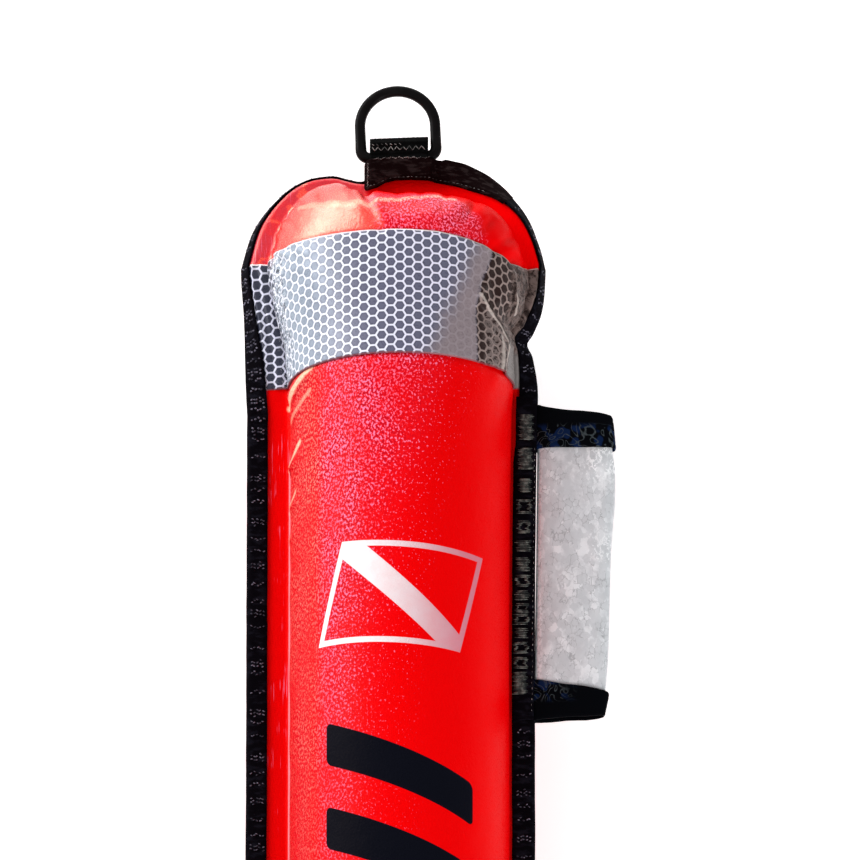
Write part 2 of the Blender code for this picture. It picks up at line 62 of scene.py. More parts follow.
# Shared with the solids
TUBE_RADIUS = 43.8
AXIS_HEIGHT = 42.2
CROWN = AXIS_HEIGHT + TUBE_RADIUS
HALF_LENGTH = 570.0
FAN_DEPTH = 45.0
# How much lower the crown lies at both ends, and what the sections' exponent gains there
END_DROP = 1.5
END_TAPER = 0.35
# Levels of the flat edge's layers, out from its middle
PLY_FACE = 0.95
TAPE_INNER = PLY_FACE + 0.45
TAPE_OUTER = TAPE_INNER + 0.7
STRIP_BASE = TAPE_OUTER + 0.3
MARGIN_IN_TAPE = 8.2
BAND_TOP = 45.0
BAND_BOTTOM = 98.0
BAND_LIFT = 0.65
BAND_SINK = 0.8
FLOOR_CLEAR = 0.05
INFLATOR_Y = -478.0
RELIEF_Y = -405.0
# The rings: place across, lean, half width on the centre line, bar's place past the edge
RING_X = {"head": -0.5, "foot": 0.0}
RING_LEAN = 0.04
RING_HALF = 15.1
RING_OUT = 1.6
# Where the binding's two cut ends lie, left of the head's ring
TAPE_FIRST_X = -18.0
TAPE_LAST_X = -13.2

# Spacing of the stations round the head and round the foot
HEAD_STEP = 1.9
FOOT_STEP = 3.4
# x, distance in from the end's edge, width of the bare weld, droop of the tape in degrees
HEAD_SEAM = [
    (47.1, 36.2, 5.0, 76.0),
    (43.7, 29.3, 5.2, 70.0),
    (39.2, 24.6, 5.5, 60.0),
    (33.3, 21.2, 5.8, 44.0),
    (26.3, 19.1, 5.8, 24.0),
    (18.5, 17.3, 5.8, 6.0),
    (9.6, 16.4, 5.8, 0.0),
    (0.0, 16.2, 6.0, 0.0),
    (-7.6, 16.0, 5.8, 0.0),
    (-13.2, 16.2, 5.4, 12.0),
    (-14.8, 16.1, 5.2, 62.0),
    (-18.0, 15.8, 5.0, 76.0),
    (-22.4, 14.4, 4.6, 76.0),
    (-27.4, 12.6, 4.0, 75.0),
    (-33.0, 13.2, 4.0, 76.0),
    (-38.5, 16.0, 4.4, 76.0),
    (-44.3, 22.8, 5.4, 74.0),
    (-49.2, 32.1, 6.2, 71.0),
]
FOOT_SEAM = [
    (50.2, 34.5, 4.2, 38.0),
    (45.4, 24.5, 3.6, 32.0),
    (36.5, 16.6, 2.4, 20.0),
    (24.5, 12.4, 1.4, 6.0),
    (12.0, 11.3, 1.0, 0.0),
    (0.0, 11.2, 1.0, 0.0),
]

# Distance from the head's edge, then x, weld and droop on the right, and on the left
SIDE_ROWS = [
    (45.0, 50.4, 4.2, 78.0, -52.2, 6.8, 68.0),
    (53.0, 50.0, 3.7, 74.0, -51.2, 7.0, 64.0),
    (61.0, 48.4, 3.2, 64.0, -49.8, 7.2, 58.0),
    (69.0, 45.8, 2.0, 56.0, -48.2, 7.6, 49.0),
    (76.0, 42.4, 1.8, 50.0, -46.8, 7.9, 38.0),
    (84.0, 44.2, 1.6, 42.0, -45.4, 8.2, 24.0),
    (98.0, 45.2, 1.2, 20.0, -44.4, 8.2, 8.0),
    (110.0, 44.6, 1.0, 4.0, -43.8, 8.2, 0.0),
    *[(d, 43.6, 1.0, 0.0, -43.8, 8.2, 0.0) for d in (236.0, 420.0, 640.0, 860.0)],
    (1010.0, 43.8, 1.0, 0.0, -43.8, 8.2, 0.0),
    (1040.0, 44.6, 2.0, 8.0, -44.6, 7.8, 6.0),
    (1070.0, 48.4, 3.6, 28.0, -48.4, 6.8, 22.0),
    (1095.0, 51.6, 4.4, 40.0, -51.6, 5.6, 38.0),
]


def smooth(a, b, x):
    """0 at a, 1 at b, with a smooth ramp between."""
    t = np.clip((np.asarray(x, float) - a) / (b - a), 0.0, 1.0)
    return t * t * (3.0 - 2.0 * t)


def bell(x, centre, width):
    return np.exp(-(((np.asarray(x, float) - centre) / width) ** 2))


def unit(vectors):
    return vectors / np.linalg.norm(vectors, axis=-1)[..., None]


def curve_through(x, table, at):
    """Smooth interpolation of table's columns that never swings past its points."""
    x, table, at = np.asarray(x, float), np.asarray(table, float), np.asarray(at, float)
    h = np.diff(x)[:, None]
    slope = np.diff(table, axis=0) / h
    tangent = np.zeros_like(table)
    before, after = slope[:-1], slope[1:]
    w1, w2 = 2 * h[1:] + h[:-1], h[1:] + 2 * h[:-1]
    with np.errstate(divide="ignore", invalid="ignore"):
        mean = (w1 + w2) / (w1 / before + w2 / after)
    tangent[1:-1] = np.where(before * after > 0, mean, 0.0)
    tangent[0], tangent[-1] = slope[0], slope[-1]
    i = np.clip(np.searchsorted(x, at) - 1, 0, len(x) - 2)
    step = (x[i + 1] - x[i])[:, None]
    t = (at - x[i])[:, None] / step
    rise = 3 * t**2 - 2 * t**3
    swing = (t**3 - 2 * t**2 + t) * tangent[i] + (t**3 - t**2) * tangent[i + 1]
    return (1 - rise) * table[i] + rise * table[i + 1] + step * swing


def chord_lengths(points):
    steps = np.linalg.norm(np.diff(np.asarray(points, float), axis=0), axis=1)
    return np.concatenate([[0.0], np.cumsum(steps)])


def along_line(run, points, lengths):
    """Points of a polyline at given lengths along it."""
    return np.stack([np.interp(lengths, run, column) for column in points.T], axis=-1)


def stack(*values):
    """Broadcasts values and joins them as the last axis."""
    return np.stack(np.broadcast_arrays(*values), axis=-1).astype(float)


def fractal(points, size, seed, octaves=3, ridged=False):
    """Noise in -1 to 1 at points in mm; size is the largest feature in mm."""
    out = []
    offset = Vector((seed * 17.3, seed * 5.1, seed * 11.7))
    for p in points.reshape(-1, 3):
        q = Vector(p) / size + offset
        total, scale, weight = 0.0, 1.0, 1.0
        for _ in range(octaves):
            value = noise.noise(q * scale)
            total += weight * ((1.0 - 2.0 * abs(value)) if ridged else value)
            scale *= 2.1
            weight *= 0.5
        out.append(total / (2.0 - 2.0 ** (1 - octaves)))
    return np.array(out).reshape(points.shape[:-1])


# The seam as dense stations


def side_distances():
    """Distances from the head's edge of the dense rows, finer near the head and foot."""
    near = np.arange(BAND_TOP, 272.0, 2.12)
    middle = np.arange(near[-1] + 6.0, 990.0, 8.0)
    foot = np.linspace(middle[-1] + 4.0, 2 * HALF_LENGTH - FAN_DEPTH, 30)
    rows = np.concatenate([near, middle, foot])
    for edge in (BAND_TOP, BAND_BOTTOM):
        rows[np.argmin(np.abs(rows - edge))] = edge
    return rows


class Seam:
    """Dense stations of the welded seam, anticlockwise seen from above, from the foot's middle.

    Each has its root, the spine point its section starts from, the weld's width, the
    droop of the bound edge and the crown's height.
    """

    def __init__(self):
        rows = np.array(SIDE_ROWS)
        d = side_distances()
        sides = curve_through(rows[:, 0], rows[:, 1:], d)
        top, low = SIDE_ROWS[0], SIDE_ROWS[-1]
        right, left = (top[1], top[0], *top[2:4]), (top[4], top[0], *top[5:])
        head = self.fan([right, *HEAD_SEAM, left], HEAD_STEP)
        right = (low[1], FAN_DEPTH, *low[2:4])
        mirrored = [(-x, *rest) for x, *rest in FOOT_SEAM[-2::-1]]
        left = (-right[0], *right[1:])
        foot = self.fan([right, *FOOT_SEAM, *mirrored, left], FOOT_STEP)[::-1]
        half = len(foot) // 2
        parts = [
            self.end_rows(foot[half:], -1),
            self.side(d[::-1], sides[::-1, :3]),
            self.end_rows(head, 1),
            self.side(d, sides[:, 3:]),
            self.end_rows(foot[:half], -1),
        ]
        x, y, self.weld, droop, spine_y = np.concatenate(parts).T
        self.count = len(x)
        self.root = stack(x, y)
        self.spine = stack(0.0, spine_y)
        from_end = HALF_LENGTH - np.abs(spine_y)
        share = np.clip((from_end - FAN_DEPTH) / FAN_DEPTH, 0.0, 1.0)
        self.height = TUBE_RADIUS - END_DROP * (1.0 - share)
        self.droop = np.radians(droop)
        closed = np.vstack([self.root, self.root[:1]])
        self.run = chord_lengths(closed)
        self.out = stack(*self.normals(closed).T, 0.0)
        # Start of the tape's fold, and the directions along and square to the drooping edge
        start = stack(*self.root.T, AXIS_HEIGHT) + self.out * self.weld[:, None]
        up = np.array([0.0, 0.0, 1.0])
        c, s = np.cos(self.droop)[:, None], np.sin(self.droop)[:, None]
        self.edge = np.array([start, self.out * c - up * s, self.out * s + up * c])

    @staticmethod
    def fan(points, spacing):
        """Evenly spaced stations between the first and the last of a few points."""
        points = np.array(points)
        run = chord_lengths(points[:, :2])
        at = np.linspace(0.0, run[-1], int(run[-1] / spacing) + 1)[1:-1]
        return curve_through(run, points, at)

    @staticmethod
    def end_rows(points, end):
        """Rows round one end, with one spine point: x, y, weld, droop and the spine's y."""
        x, distance, weld, droop = points.T
        y = end * (HALF_LENGTH - distance)
        return stack(x, y, weld, droop, end * (HALF_LENGTH - FAN_DEPTH))

    @staticmethod
    def side(d, columns):
        """The same rows down one side, each with the spine point beside it."""
        return stack(columns[:, 0], HALF_LENGTH - d, columns[:, 1], columns[:, 2], HALF_LENGTH - d)

    def normals(self, closed, reach=9.0):
        """Outward directions, averaged over about 9 mm so that the pucker doesn't fold them."""
        ahead, behind = (
            along_line(self.run, closed, np.mod(self.run[:-1] + way, self.run[-1]))
            for way in (reach, -reach)
        )
        along = ahead - behind
        return unit(stack(along[:, 1], -along[:, 0]))


SEAM = Seam()


def floor_under(y):
    """The lowest the back may reach: it leaves room for the band below it."""
    d = HALF_LENGTH - y
    near = np.maximum(0.0, np.maximum(BAND_TOP - d, d - BAND_BOTTOM))
    return BAND_LIFT * np.clip(1.0 - near / 10.0, 0.0, 1.0)


def photo_spot(p):
    """Where a point shows in the photograph, in pixels."""
    u = PHOTO_X + p[..., 0] / PIXEL
    rise = math.tan(TILT) * (p[..., 2] - AXIS_HEIGHT) / PIXEL_ALONG
    v = PHOTO_Y + (HALF_LENGTH - p[..., 1]) / PIXEL_ALONG - rise
    return u, v


class Skin:
    """One face of the inflated bladder as a grid: stations by steps from the spine to the rim."""

    def __init__(self, side, steps=30):
        self.side = side
        self.root_column = steps
        angles = 0.5 * math.pi * np.linspace(0.0, 1.0, steps + 1)
        reach_vector = SEAM.root - SEAM.spine
        reach = np.linalg.norm(reach_vector, axis=1)
        direction = (reach_vector / reach[:, None])[:, None]
        taper = 1.0 + END_TAPER * direction[..., 1] ** 2
        lift = np.cos(angles)[None, :] ** taper
        lift[:, -1] = 0.0
        spine = SEAM.spine[:, None]
        plan = spine + direction * (reach[:, None] * np.sin(angles))[..., None]
        z = AXIS_HEIGHT + side * (PLY_FACE + (SEAM.height[:, None] - PLY_FACE) * lift)
        start, along, square = SEAM.edge
        rise = side * PLY_FACE
        root = stack(plan[:, -1, 0], plan[:, -1, 1], z[:, -1])
        bend = start + SEAM.out * (rise * np.tan(SEAM.droop / 2))[:, None] + (0, 0, rise)
        rim = start + along * MARGIN_IN_TAPE + square * rise
        weld = [root + (bend - root) * t for t in (0.25, 0.5, 0.75, 1.0)]
        hem = [bend + (rim - bend) * t for t in (0.12, 0.5, 1.0)]
        dome = stack(plan[..., 0], plan[..., 1], z)
        self.base = np.concatenate([dome, np.stack(weld + hem, axis=1)], axis=1)
        lengths = np.linalg.norm(np.diff(self.base, axis=1), axis=2)
        self.arc = np.concatenate([np.zeros((SEAM.count, 1)), np.cumsum(lengths, axis=1)], axis=1)
        self.root_arc = self.arc[:, steps]
        # Unrolled place of every point, with its share of the way to the root as third number
        x, y = np.moveaxis(spine + direction * self.arc[..., None], -1, 0)
        self.flat = stack(x, y, self.arc / self.root_arc[:, None])
        self.normal = self.grid_normals(self.base)

    def grid_normals(self, p):
        """Unit normals of the grid, on this face's outer side."""
        d_run = np.roll(p, -1, axis=0) - np.roll(p, 1, axis=0)
        n = np.cross(np.gradient(p, axis=1), d_run)
        length = np.linalg.norm(n, axis=2)
        weak = length < 1e-6
        n[weak] = (0.0, 0.0, 1.0)
        length[weak] = 1.0
        n *= self.side / length[..., None]
        n[:, 0] = (0.0, 0.0, self.side)
        return n

    def place(self, amount):
        """The grid moved out by amount, in mm, kept above the floor on the underside."""
        p = self.base + self.normal * amount[..., None]
        if self.side < 0:
            p[..., 2] = np.maximum(p[..., 2], floor_under(p[..., 1]))
        return p


# Relief: how far the inflated skin stands off the smooth form, in mm

# Valleys, then ridges, as lines in the photo: points, width in pixels, height in mm
CREASES = [
    ([(364, 178), (367, 194), (372, 212), (381, 232)], 5.0, -3.2),
    ([(352, 183), (349, 196), (345, 207)], 4.0, -1.5),
    ([(316, 192), (321, 202), (328, 210)], 3.6, -1.6),
    ([(302, 201), (308, 209), (316, 216)], 3.2, -1.3),
    ([(284, 214), (291, 223), (300, 233)], 3.4, -1.9),
    ([(293, 206), (300, 215), (308, 222)], 3.2, -1.3),
    ([(275, 226), (283, 234), (294, 240)], 3.2, -1.7),
    ([(267, 238), (277, 245), (290, 250)], 3.2, -2.1),
    ([(259, 251), (272, 257), (288, 261)], 3.2, -2.1),
    ([(396, 188), (398, 198), (401, 210)], 4.0, -0.7),
    ([(420, 190), (421, 199), (424, 208)], 4.0, -0.7),
    ([(446, 195), (444, 204), (441, 215)], 4.0, -0.9),
    ([(474, 205), (467, 215), (459, 226)], 4.5, -1.8),
    ([(494, 220), (485, 230), (474, 242)], 4.5, -1.9),
    ([(511, 238), (500, 246), (488, 256)], 4.5, -1.9),
    ([(520, 258), (508, 264), (494, 270)], 4.5, -1.0),
    ([(281, 556), (290, 565), (303, 576)], 4.0, -0.5),
    ([(281, 622), (289, 630), (300, 640)], 4.0, -0.4),
    ([(298, 209), (320, 207), (345, 205), (374, 203)], 6.0, 0.9),
    ([(378, 202), (402, 200), (422, 197), (437, 196), (453, 201), (471, 211)], 4.5, 0.9),
    ([(287, 404), (292, 392), (300, 380), (309, 371)], 2.8, 1.5),
    ([(289, 420), (296, 410), (306, 402)], 2.4, 0.7),
    ([(290, 470), (296, 461), (306, 450)], 2.6, 1.3),
    ([(290, 509), (295, 502), (302, 496)], 2.4, 1.0),
    ([(290, 541), (295, 535), (301, 530)], 2.4, 0.7),
    ([(336, 186), (337, 198), (338, 208)], 5.0, 0.7),
    ([(374, 188), (380, 204), (391, 222)], 6.0, 0.8),
    ([(480, 292), (492, 314), (503, 340), (500, 362), (494, 384)], 5.0, 1.9),
    ([(515, 300), (520, 322), (517, 346)], 5.0, 1.2),
]


def near_line(u, v, points, width):
    """Strength 0 to 1 near a line of photo pixels, and where along it (0 to 1)."""
    best, share = np.full(u.shape, 1e9), np.zeros(u.shape)
    points = np.asarray(points, float)
    run = chord_lengths(points)
    for i, a in enumerate(points[:-1]):
        ab = points[i + 1] - a
        du, dv = u - a[0], v - a[1]
        t = np.clip((du * ab[0] + dv * ab[1]) / (ab @ ab), 0.0, 1.0)
        dist = np.hypot(du - t * ab[0], dv - t * ab[1])
        closer = dist < best
        best = np.where(closer, dist, best)
        share = np.where(closer, (run[i] + t * (run[i + 1] - run[i])) / run[-1], share)
    return np.exp(-((best / width) ** 2)), share


def root_weight(arc_from_root, width):
    """1 at the welded root, fading inward over width, 0 outside the root."""
    return np.where(arc_from_root >= 0, bell(arc_from_root, 0.0, width), 0.0)


def skin_relief(p, from_root, run, side):
    """Displacement at base points p; from_root is the distance in from the root along the skin."""
    u, v = photo_spot(p)
    x, y = p[..., 0], p[..., 1]
    head_d, foot_d = HALF_LENGTH - y, HALF_LENGTH + y
    amount = 0.35 * fractal(p / (1.0, 3.0, 1.0), 38.0, 3, 2)
    wave = fractal(stack(run, 0.0, side * 7.0), 11.0, 5, 2)
    amount += 1.1 * wave * root_weight(from_root, 11.0) * smooth(110, 60, head_d)
    amount += 1.6 * wave * root_weight(from_root, 14.0) * smooth(110, 60, foot_d)
    if side < 0:
        amount += 0.9 * wave * root_weight(from_root, 12.0)
        amount += 0.3 * fractal(p, 24.0, 19, 2)
        return amount * smooth(0.0, 3.0, from_root)
    for points, width, height in CREASES:
        strength, share = near_line(u, v, points, width)
        fade = np.where(share > 0.999, 0.85, 1.0) * (1.0 - 0.75 * share)
        amount += height * strength * fade
    waist = bell(x, 44.0, 20.0) * bell(head_d, 74.0, 26.0)
    amount += fractal(p / (1.0, 1.0, 1.6), 9.0, 11, 3, ridged=True) * waist
    left = bell(x, -46.0, 11.0) * bell(head_d, 56.0, 30.0)
    amount += 0.9 * fractal(p, 7.0, 13, 3, ridged=True) * left
    slow = fractal(stack(run - 0.9 * from_root, 0.0, 0.0), 17.0, 17, 2)
    tall = smooth(95, 120, head_d) * smooth(1080, 900, head_d)
    amount += np.where(x < 0, 0.55, 0.2) * slow * tall * root_weight(from_root, 14.0)
    for valve_y, reach in ((INFLATOR_Y, 20.0), (RELIEF_Y, 25.0)):
        amount *= smooth(reach, reach + 9.0, np.hypot(x, y - valve_y))
    return amount * smooth(0.0, 3.0, from_root)


# Meshes


def make_mesh(name, points, faces, material, flat=None, merge=0.0):
    """An object from points in mm; flat, if given, is kept as a point attribute for shaders."""
    mesh = bpy.data.meshes.new(name)
    points = np.asarray(points, float).reshape(-1, 3)
    mesh.from_pydata([tuple(p * MM) for p in points], [], [tuple(int(i) for i in f) for f in faces])
    if flat is not None:
        layer = mesh.attributes.new("flat", "FLOAT_VECTOR", "POINT")
        layer.data.foreach_set("vector", np.asarray(flat, np.float32).ravel())
    made = bpy.data.objects.new(name, mesh)
    bpy.context.scene.collection.objects.link(made)
    bm = bmesh.new()
    bm.from_mesh(mesh)
    if merge:
        bmesh.ops.remove_doubles(bm, verts=bm.verts, dist=merge * MM)
        bmesh.ops.dissolve_degenerate(bm, edges=bm.edges, dist=merge * MM * 0.5)
    bmesh.ops.recalc_face_normals(bm, faces=bm.faces)
    bm.to_mesh(mesh)
    bm.free()
    mesh.materials.append(material)
    for polygon in mesh.polygons:
        polygon.use_smooth = True
    return made


def grid_faces(rows, columns, wrap_rows=False, wrap_columns=False):
    """Four-cornered faces of a grid of points, row by row."""
    faces = []
    for i in range(rows if wrap_rows else rows - 1):
        a, b = i * columns, ((i + 1) % rows) * columns
        for j in range(columns if wrap_columns else columns - 1):
            k = (j + 1) % columns
            faces.append((a + j, b + j, b + k, a + k))
    return faces


def tube_mesh(name, rings, material, closed=False, **more):
    """A tube through rings of points, closed on itself or capped at both ends."""
    rings = np.asarray(rings)
    rows, columns = rings.shape[:2]
    faces = grid_faces(rows, columns, wrap_rows=closed, wrap_columns=True)
    if not closed:
        faces.append(tuple(range(columns))[::-1])
        faces.append(tuple((rows - 1) * columns + k for k in range(columns)))
    return make_mesh(name, rings, faces, material, **more)


def sheet_mesh(name, top, low, material):
    """A sheet between two grids of points, joined round their rim."""
    rows, columns = top.shape[:2]
    faces = grid_faces(rows, columns)
    shift = rows * columns
    under = [tuple(shift + k for k in face)[::-1] for face in faces]
    rim = [(0, j) for j in range(columns)] + [(i, columns - 1) for i in range(1, rows)]
    rim += [(rows - 1, j) for j in range(columns - 2, -1, -1)]
    rim += [(i, 0) for i in range(rows - 2, 0, -1)]
    ids = [i * columns + j for i, j in rim]
    for a, b in zip(ids, ids[1:] + ids[:1]):
        faces.append((a, b, b + shift, a + shift))
    return make_mesh(name, np.concatenate([top, low]), faces + under, material)


def stitches(name, lines, material):
    """One mesh of raised stitches, each a long rounded lozenge: start, stop, width, way up."""
    points, faces = [], []
    for a, b, width, up in lines:
        a, b, up = np.asarray(a), np.asarray(b), np.asarray(up)
        along = b - a
        across = np.cross(along, up)
        across = across / np.linalg.norm(across) * width
        height = up / np.linalg.norm(up) * width
        base = len(points)
        for share, size in ((0.0, 0.25), (0.3, 1.0), (0.7, 1.0), (1.0, 0.25)):
            centre = a + along * share
            for way, rise in ((-1.0, -0.3), (-0.5, size), (0.5, size), (1.0, -0.3)):
                points.append(centre + across * size * way + height * rise)
        for q in range(base, base + 12, 4):
            faces += [(q + k, q + 4 + k, q + 5 + k, q + k + 1) for k in range(3)]
        faces.append((base, base + 1, base + 2, base + 3))
        faces.append((base + 15, base + 14, base + 13, base + 12))
    points = np.array(points)
    points[:, 2] = np.maximum(points[:, 2], FLOOR_CLEAR)
    return make_mesh(name, points, faces, material)


def face_out(made, toward):
    """Turns the faces of an open surface so that they mostly look toward a direction."""
    mesh = made.data
    total = sum(polygon.normal.dot(Vector(toward)) * polygon.area for polygon in mesh.polygons)
    if total < 0:
        mesh.flip_normals()


def bladder_skin(name, side, material):
    """One face of the inflated bladder, with its puckers and creases."""
    skin = Skin(side)
    root_arc = skin.root_arc[:, None]
    from_root = root_arc - skin.arc
    run = np.repeat(SEAM.run[: SEAM.count, None], skin.arc.shape[1], axis=1)
    amount = skin_relief(skin.base, from_root, run, side)
    # The spine is one line: every station gives it the same relief
    shared = skin_relief(skin.base[:, :1], from_root[:, :1], run[:, :1] * 0.0, side)
    blend_in = smooth(0.0, 9.0, skin.arc)
    amount = amount * blend_in + shared * (1.0 - blend_in)
    amount[:, skin.root_column :] = 0.0
    # The skin sinks so that the band and its crumples lie clear above it
    d = HALF_LENGTH - skin.base[..., 1]
    sink = smooth(BAND_TOP - 0.6, BAND_TOP + 0.6, d)
    sink = sink * smooth(BAND_BOTTOM + 0.6, BAND_BOTTOM - 0.6, d)
    amount -= BAND_SINK * sink * smooth(0.0, 3.0, from_root)
    points = skin.place(amount)
    faces = grid_faces(SEAM.count, points.shape[1], wrap_rows=True)
    made = make_mesh(name, points, faces, material, flat=skin.flat, merge=0.004)
    face_out(made, (0, 0, side))
    return made


# Materials


class Wire:
    """The output of a shader node; arithmetic on it adds the nodes that work it out."""

    def __init__(self, paint, socket):
        self.paint, self.socket = paint, socket

    def math(self, operation, *others):
        values = enumerate((self, *others))
        return self.paint.wire("ShaderNodeMath", values, operation=operation)

    def __add__(self, other):
        return self.math("ADD", other)

    def __sub__(self, other):
        return self.math("SUBTRACT", other)

    def __rsub__(self, other):
        values = ((0, other), (1, self))
        return self.paint.wire("ShaderNodeMath", values, operation="SUBTRACT")

    def __mul__(self, other):
        return self.math("MULTIPLY", other)

    def __truediv__(self, other):
        return self.math("DIVIDE", other)

    def __mod__(self, other):
        return self.math("MODULO", other)

    def __abs__(self):
        return self.math("ABSOLUTE")

    def most(self, other):
        return self.math("MAXIMUM", other)

    def least(self, other):
        return self.math("MINIMUM", other)

    def from_round(self):
        """How far it is from the nearest whole number."""
        return self - self.math("ROUND")

    def step(self, low, high, to_low=0.0, to_high=1.0):
        """A smooth ramp: to_low where it is at low, to_high where it is at high."""
        values = enumerate((self, low, high, to_low, to_high))
        return self.paint.wire(
            "ShaderNodeMapRange", values, interpolation_type="SMOOTHSTEP", clamp=True
        )


class Paint:
    """A material built up from nodes; every socket given a plain number has it set directly."""

    def __init__(self, name, color, roughness, **inputs):
        self.material = bpy.data.materials.new(name)
        self.material.use_nodes = True
        self.tree = self.material.node_tree
        self.shader = self.tree.nodes["Principled BSDF"]
        self.color = color
        self.finish(Roughness=roughness, **inputs)

    def finish(self, **inputs):
        """Sets the colour laid so far and the shader's named inputs."""
        self.put(self.shader, "Base Color", self.color)
        for key, value in inputs.items():
            self.put(self.shader, key.replace("_", " "), value)
        return self.material

    def put(self, node, socket, value):
        target = node.inputs[socket]
        if isinstance(value, Wire):
            self.tree.links.new(value.socket, target)
        elif isinstance(value, tuple) and target.type == "RGBA":
            target.default_value = (*value[:3], 1.0)
        else:
            target.default_value = value

    def wire(self, kind, inputs=(), output=0, **settings):
        made = self.tree.nodes.new(kind)
        for key, value in settings.items():
            setattr(made, key, value)
        for key, value in inputs:
            self.put(made, key, value)
        return Wire(self, made.outputs[output])

    def flat(self):
        """The unrolled place in mm."""
        return self.wire("ShaderNodeAttribute", output="Vector", attribute_name="flat")

    def place(self):
        """The place on the object in mm."""
        spot = self.wire("ShaderNodeTexCoord", output="Object")
        values = ((0, spot), ("Scale", 1000.0))
        return self.wire("ShaderNodeVectorMath", values, operation="SCALE")

    def split(self, vector):
        first = self.wire("ShaderNodeSeparateXYZ", [(0, vector)])
        return [Wire(self, socket) for socket in first.socket.node.outputs]

    def join(self, x, y, z=0.0):
        return self.wire("ShaderNodeCombineXYZ", enumerate((x, y, z)))

    def length(self, x, y):
        values = [(0, self.join(x, y))]
        return self.wire("ShaderNodeVectorMath", values, "Value", operation="LENGTH")

    def noise(self, vector, scale, detail=2.0, roughness=0.55, distortion=0.0):
        names = ("Vector", "Scale", "Detail", "Roughness", "Distortion")
        values = zip(names, (vector, scale, detail, roughness, distortion))
        return self.wire("ShaderNodeTexNoise", values)

    def cells(self, vector, scale, output, feature="F1"):
        values = (("Vector", vector), ("Scale", scale))
        return self.wire("ShaderNodeTexVoronoi", values, output, feature=feature)

    def ribs(self, vector, scale, **inputs):
        """Even diagonal bands."""
        values = {"Vector": vector, "Scale": scale, **inputs}.items()
        return self.wire("ShaderNodeTexWave", values, "Fac", bands_direction="DIAGONAL")

    def mix(self, share, first, second):
        # The colour sockets of a mix node share their names, so they go by number
        values = ((0, share), (6, first), (7, second))
        return self.wire("ShaderNodeMix", values, 2, data_type="RGBA")

    def coat(self, share, shade):
        """Lays a share of another colour over the colour so far."""
        self.color = self.mix(share, self.color, shade)

    def bump(self, height, distance, strength, **under):
        values = {"Height": height, "Distance": distance, "Strength": strength, **under}.items()
        return self.wire("ShaderNodeBump", values)

    def stroke(self, x, y, start, stop, width):
        """1 along a straight line between two flat places, fading out over its width."""
        dx, dy = stop[0] - start[0], stop[1] - start[1]
        px, py = x - start[0], y - start[1]
        length = dx * dx + dy * dy
        along = (px * (dx / length) + py * (dy / length)).most(0.0).least(1.0)
        return self.length(px - along * dx, py - along * dy).step(width, width * 0.3)

    def strokes(self, x, y, points, width):
        """The same along a line of several flat places."""
        total, *masks = [self.stroke(x, y, *ends, width) for ends in zip(points, points[1:])]
        for mask in masks:
            total = total.most(mask)
        return total


RED = (0.82, 0.0003, 0.0012)
# Painted shade on the red fabric
RED_SHADE = (0.42, 0.0002, 0.012)
# Painted glints on the red fabric: pink, and orange further left
GLINT_PINK = (0.95, 0.33, 0.60)
GLINT_ORANGE = (0.90, 0.32, 0.25)
SHINE_TINT = (1.0, 0.68, 0.50)
# Painted highlight on the creases and the crest
HIGHLIGHT_PEACH = (1.0, 0.62, 0.42)
RIM_RED = (0.56, 0.028, 0.055)
# Painted shade beside the creases
CREASE_SHADE = (0.40, 0.0, 0.004)
# Painted highlights and shades along short creases at the left root and the crest of the head,
# unrolled: line, width, strength, colour
CREASE_LIGHT_AND_SHADE = [
    ([(-68.0, 463.5), (-58.0, 466.5), (-48.0, 469.5), (-41.0, 472.0)], 2.0, 0.9, HIGHLIGHT_PEACH),
    ([(-68.0, 460.6), (-56.0, 463.4), (-44.0, 468.0)], 1.4, 0.5, CREASE_SHADE),
    ([(-62.0, 455.5), (-50.0, 459.0), (-42.0, 462.5)], 1.6, 0.35, HIGHLIGHT_PEACH),
    ([(-64.0, 452.0), (-54.0, 455.0)], 1.8, 0.4, CREASE_SHADE),
    ([(-67.5, 437.0), (-57.0, 440.0), (-50.0, 443.0)], 1.8, 0.8, HIGHLIGHT_PEACH),
    ([(-67.0, 433.5), (-57.0, 436.5)], 1.4, 0.45, CREASE_SHADE),
    ([(-67.5, 419.0), (-61.0, 421.0), (-55.0, 423.5)], 1.4, 0.6, HIGHLIGHT_PEACH),
    ([(-67.5, 405.0), (-61.0, 407.0)], 1.0, 0.35, HIGHLIGHT_PEACH),
    ([(-45.9, 544.6), (-24.8, 538.8), (-12.4, 538.8)], 2.6, 0.35, HIGHLIGHT_PEACH),
]
# A painted highlight along the crest of the head, unrolled
CREST_HIGHLIGHT_LINE = [(-9.9, 540.0), (0.5, 543.2), (10.7, 546.0), (18.5, 547.0), (24.0, 545.0)]
PRINT_WHITE = (0.88, 0.87, 0.88)
# The flag's white where it lies in painted shade, towards its right
PRINT_SHADED = (0.60, 0.20, 0.26)
PRINT_BLACK = (0.0035, 0.004, 0.0075)
# The prints, unrolled, in mm: the flag's centre, sides, size and lines, then the bars
FLAG_CENTRE = (0.6, 370.9)
FLAG_ACROSS = (61.2, -4.1)
FLAG_UP = (11.8, 42.1)
FLAG_WIDE = 61.3
FLAG_TALL = 42.9
FLAG_CORNER_GAP = 38.8
FLAG_LINE = 2.5
FLAG_STRIPE = 5.0
PRINT_SOFT = 0.12
BAR_ANGLE = math.radians(-22.3)
BAR_PITCH = 35.0
BAR_FIRST = 308.0
BAR_MIDDLE = 10.3
BAR_COUNT = 18
BAR_HALF_LONG = 31.5
BAR_HALF_TALL = 8.1
BAR_CORNER = 2.4


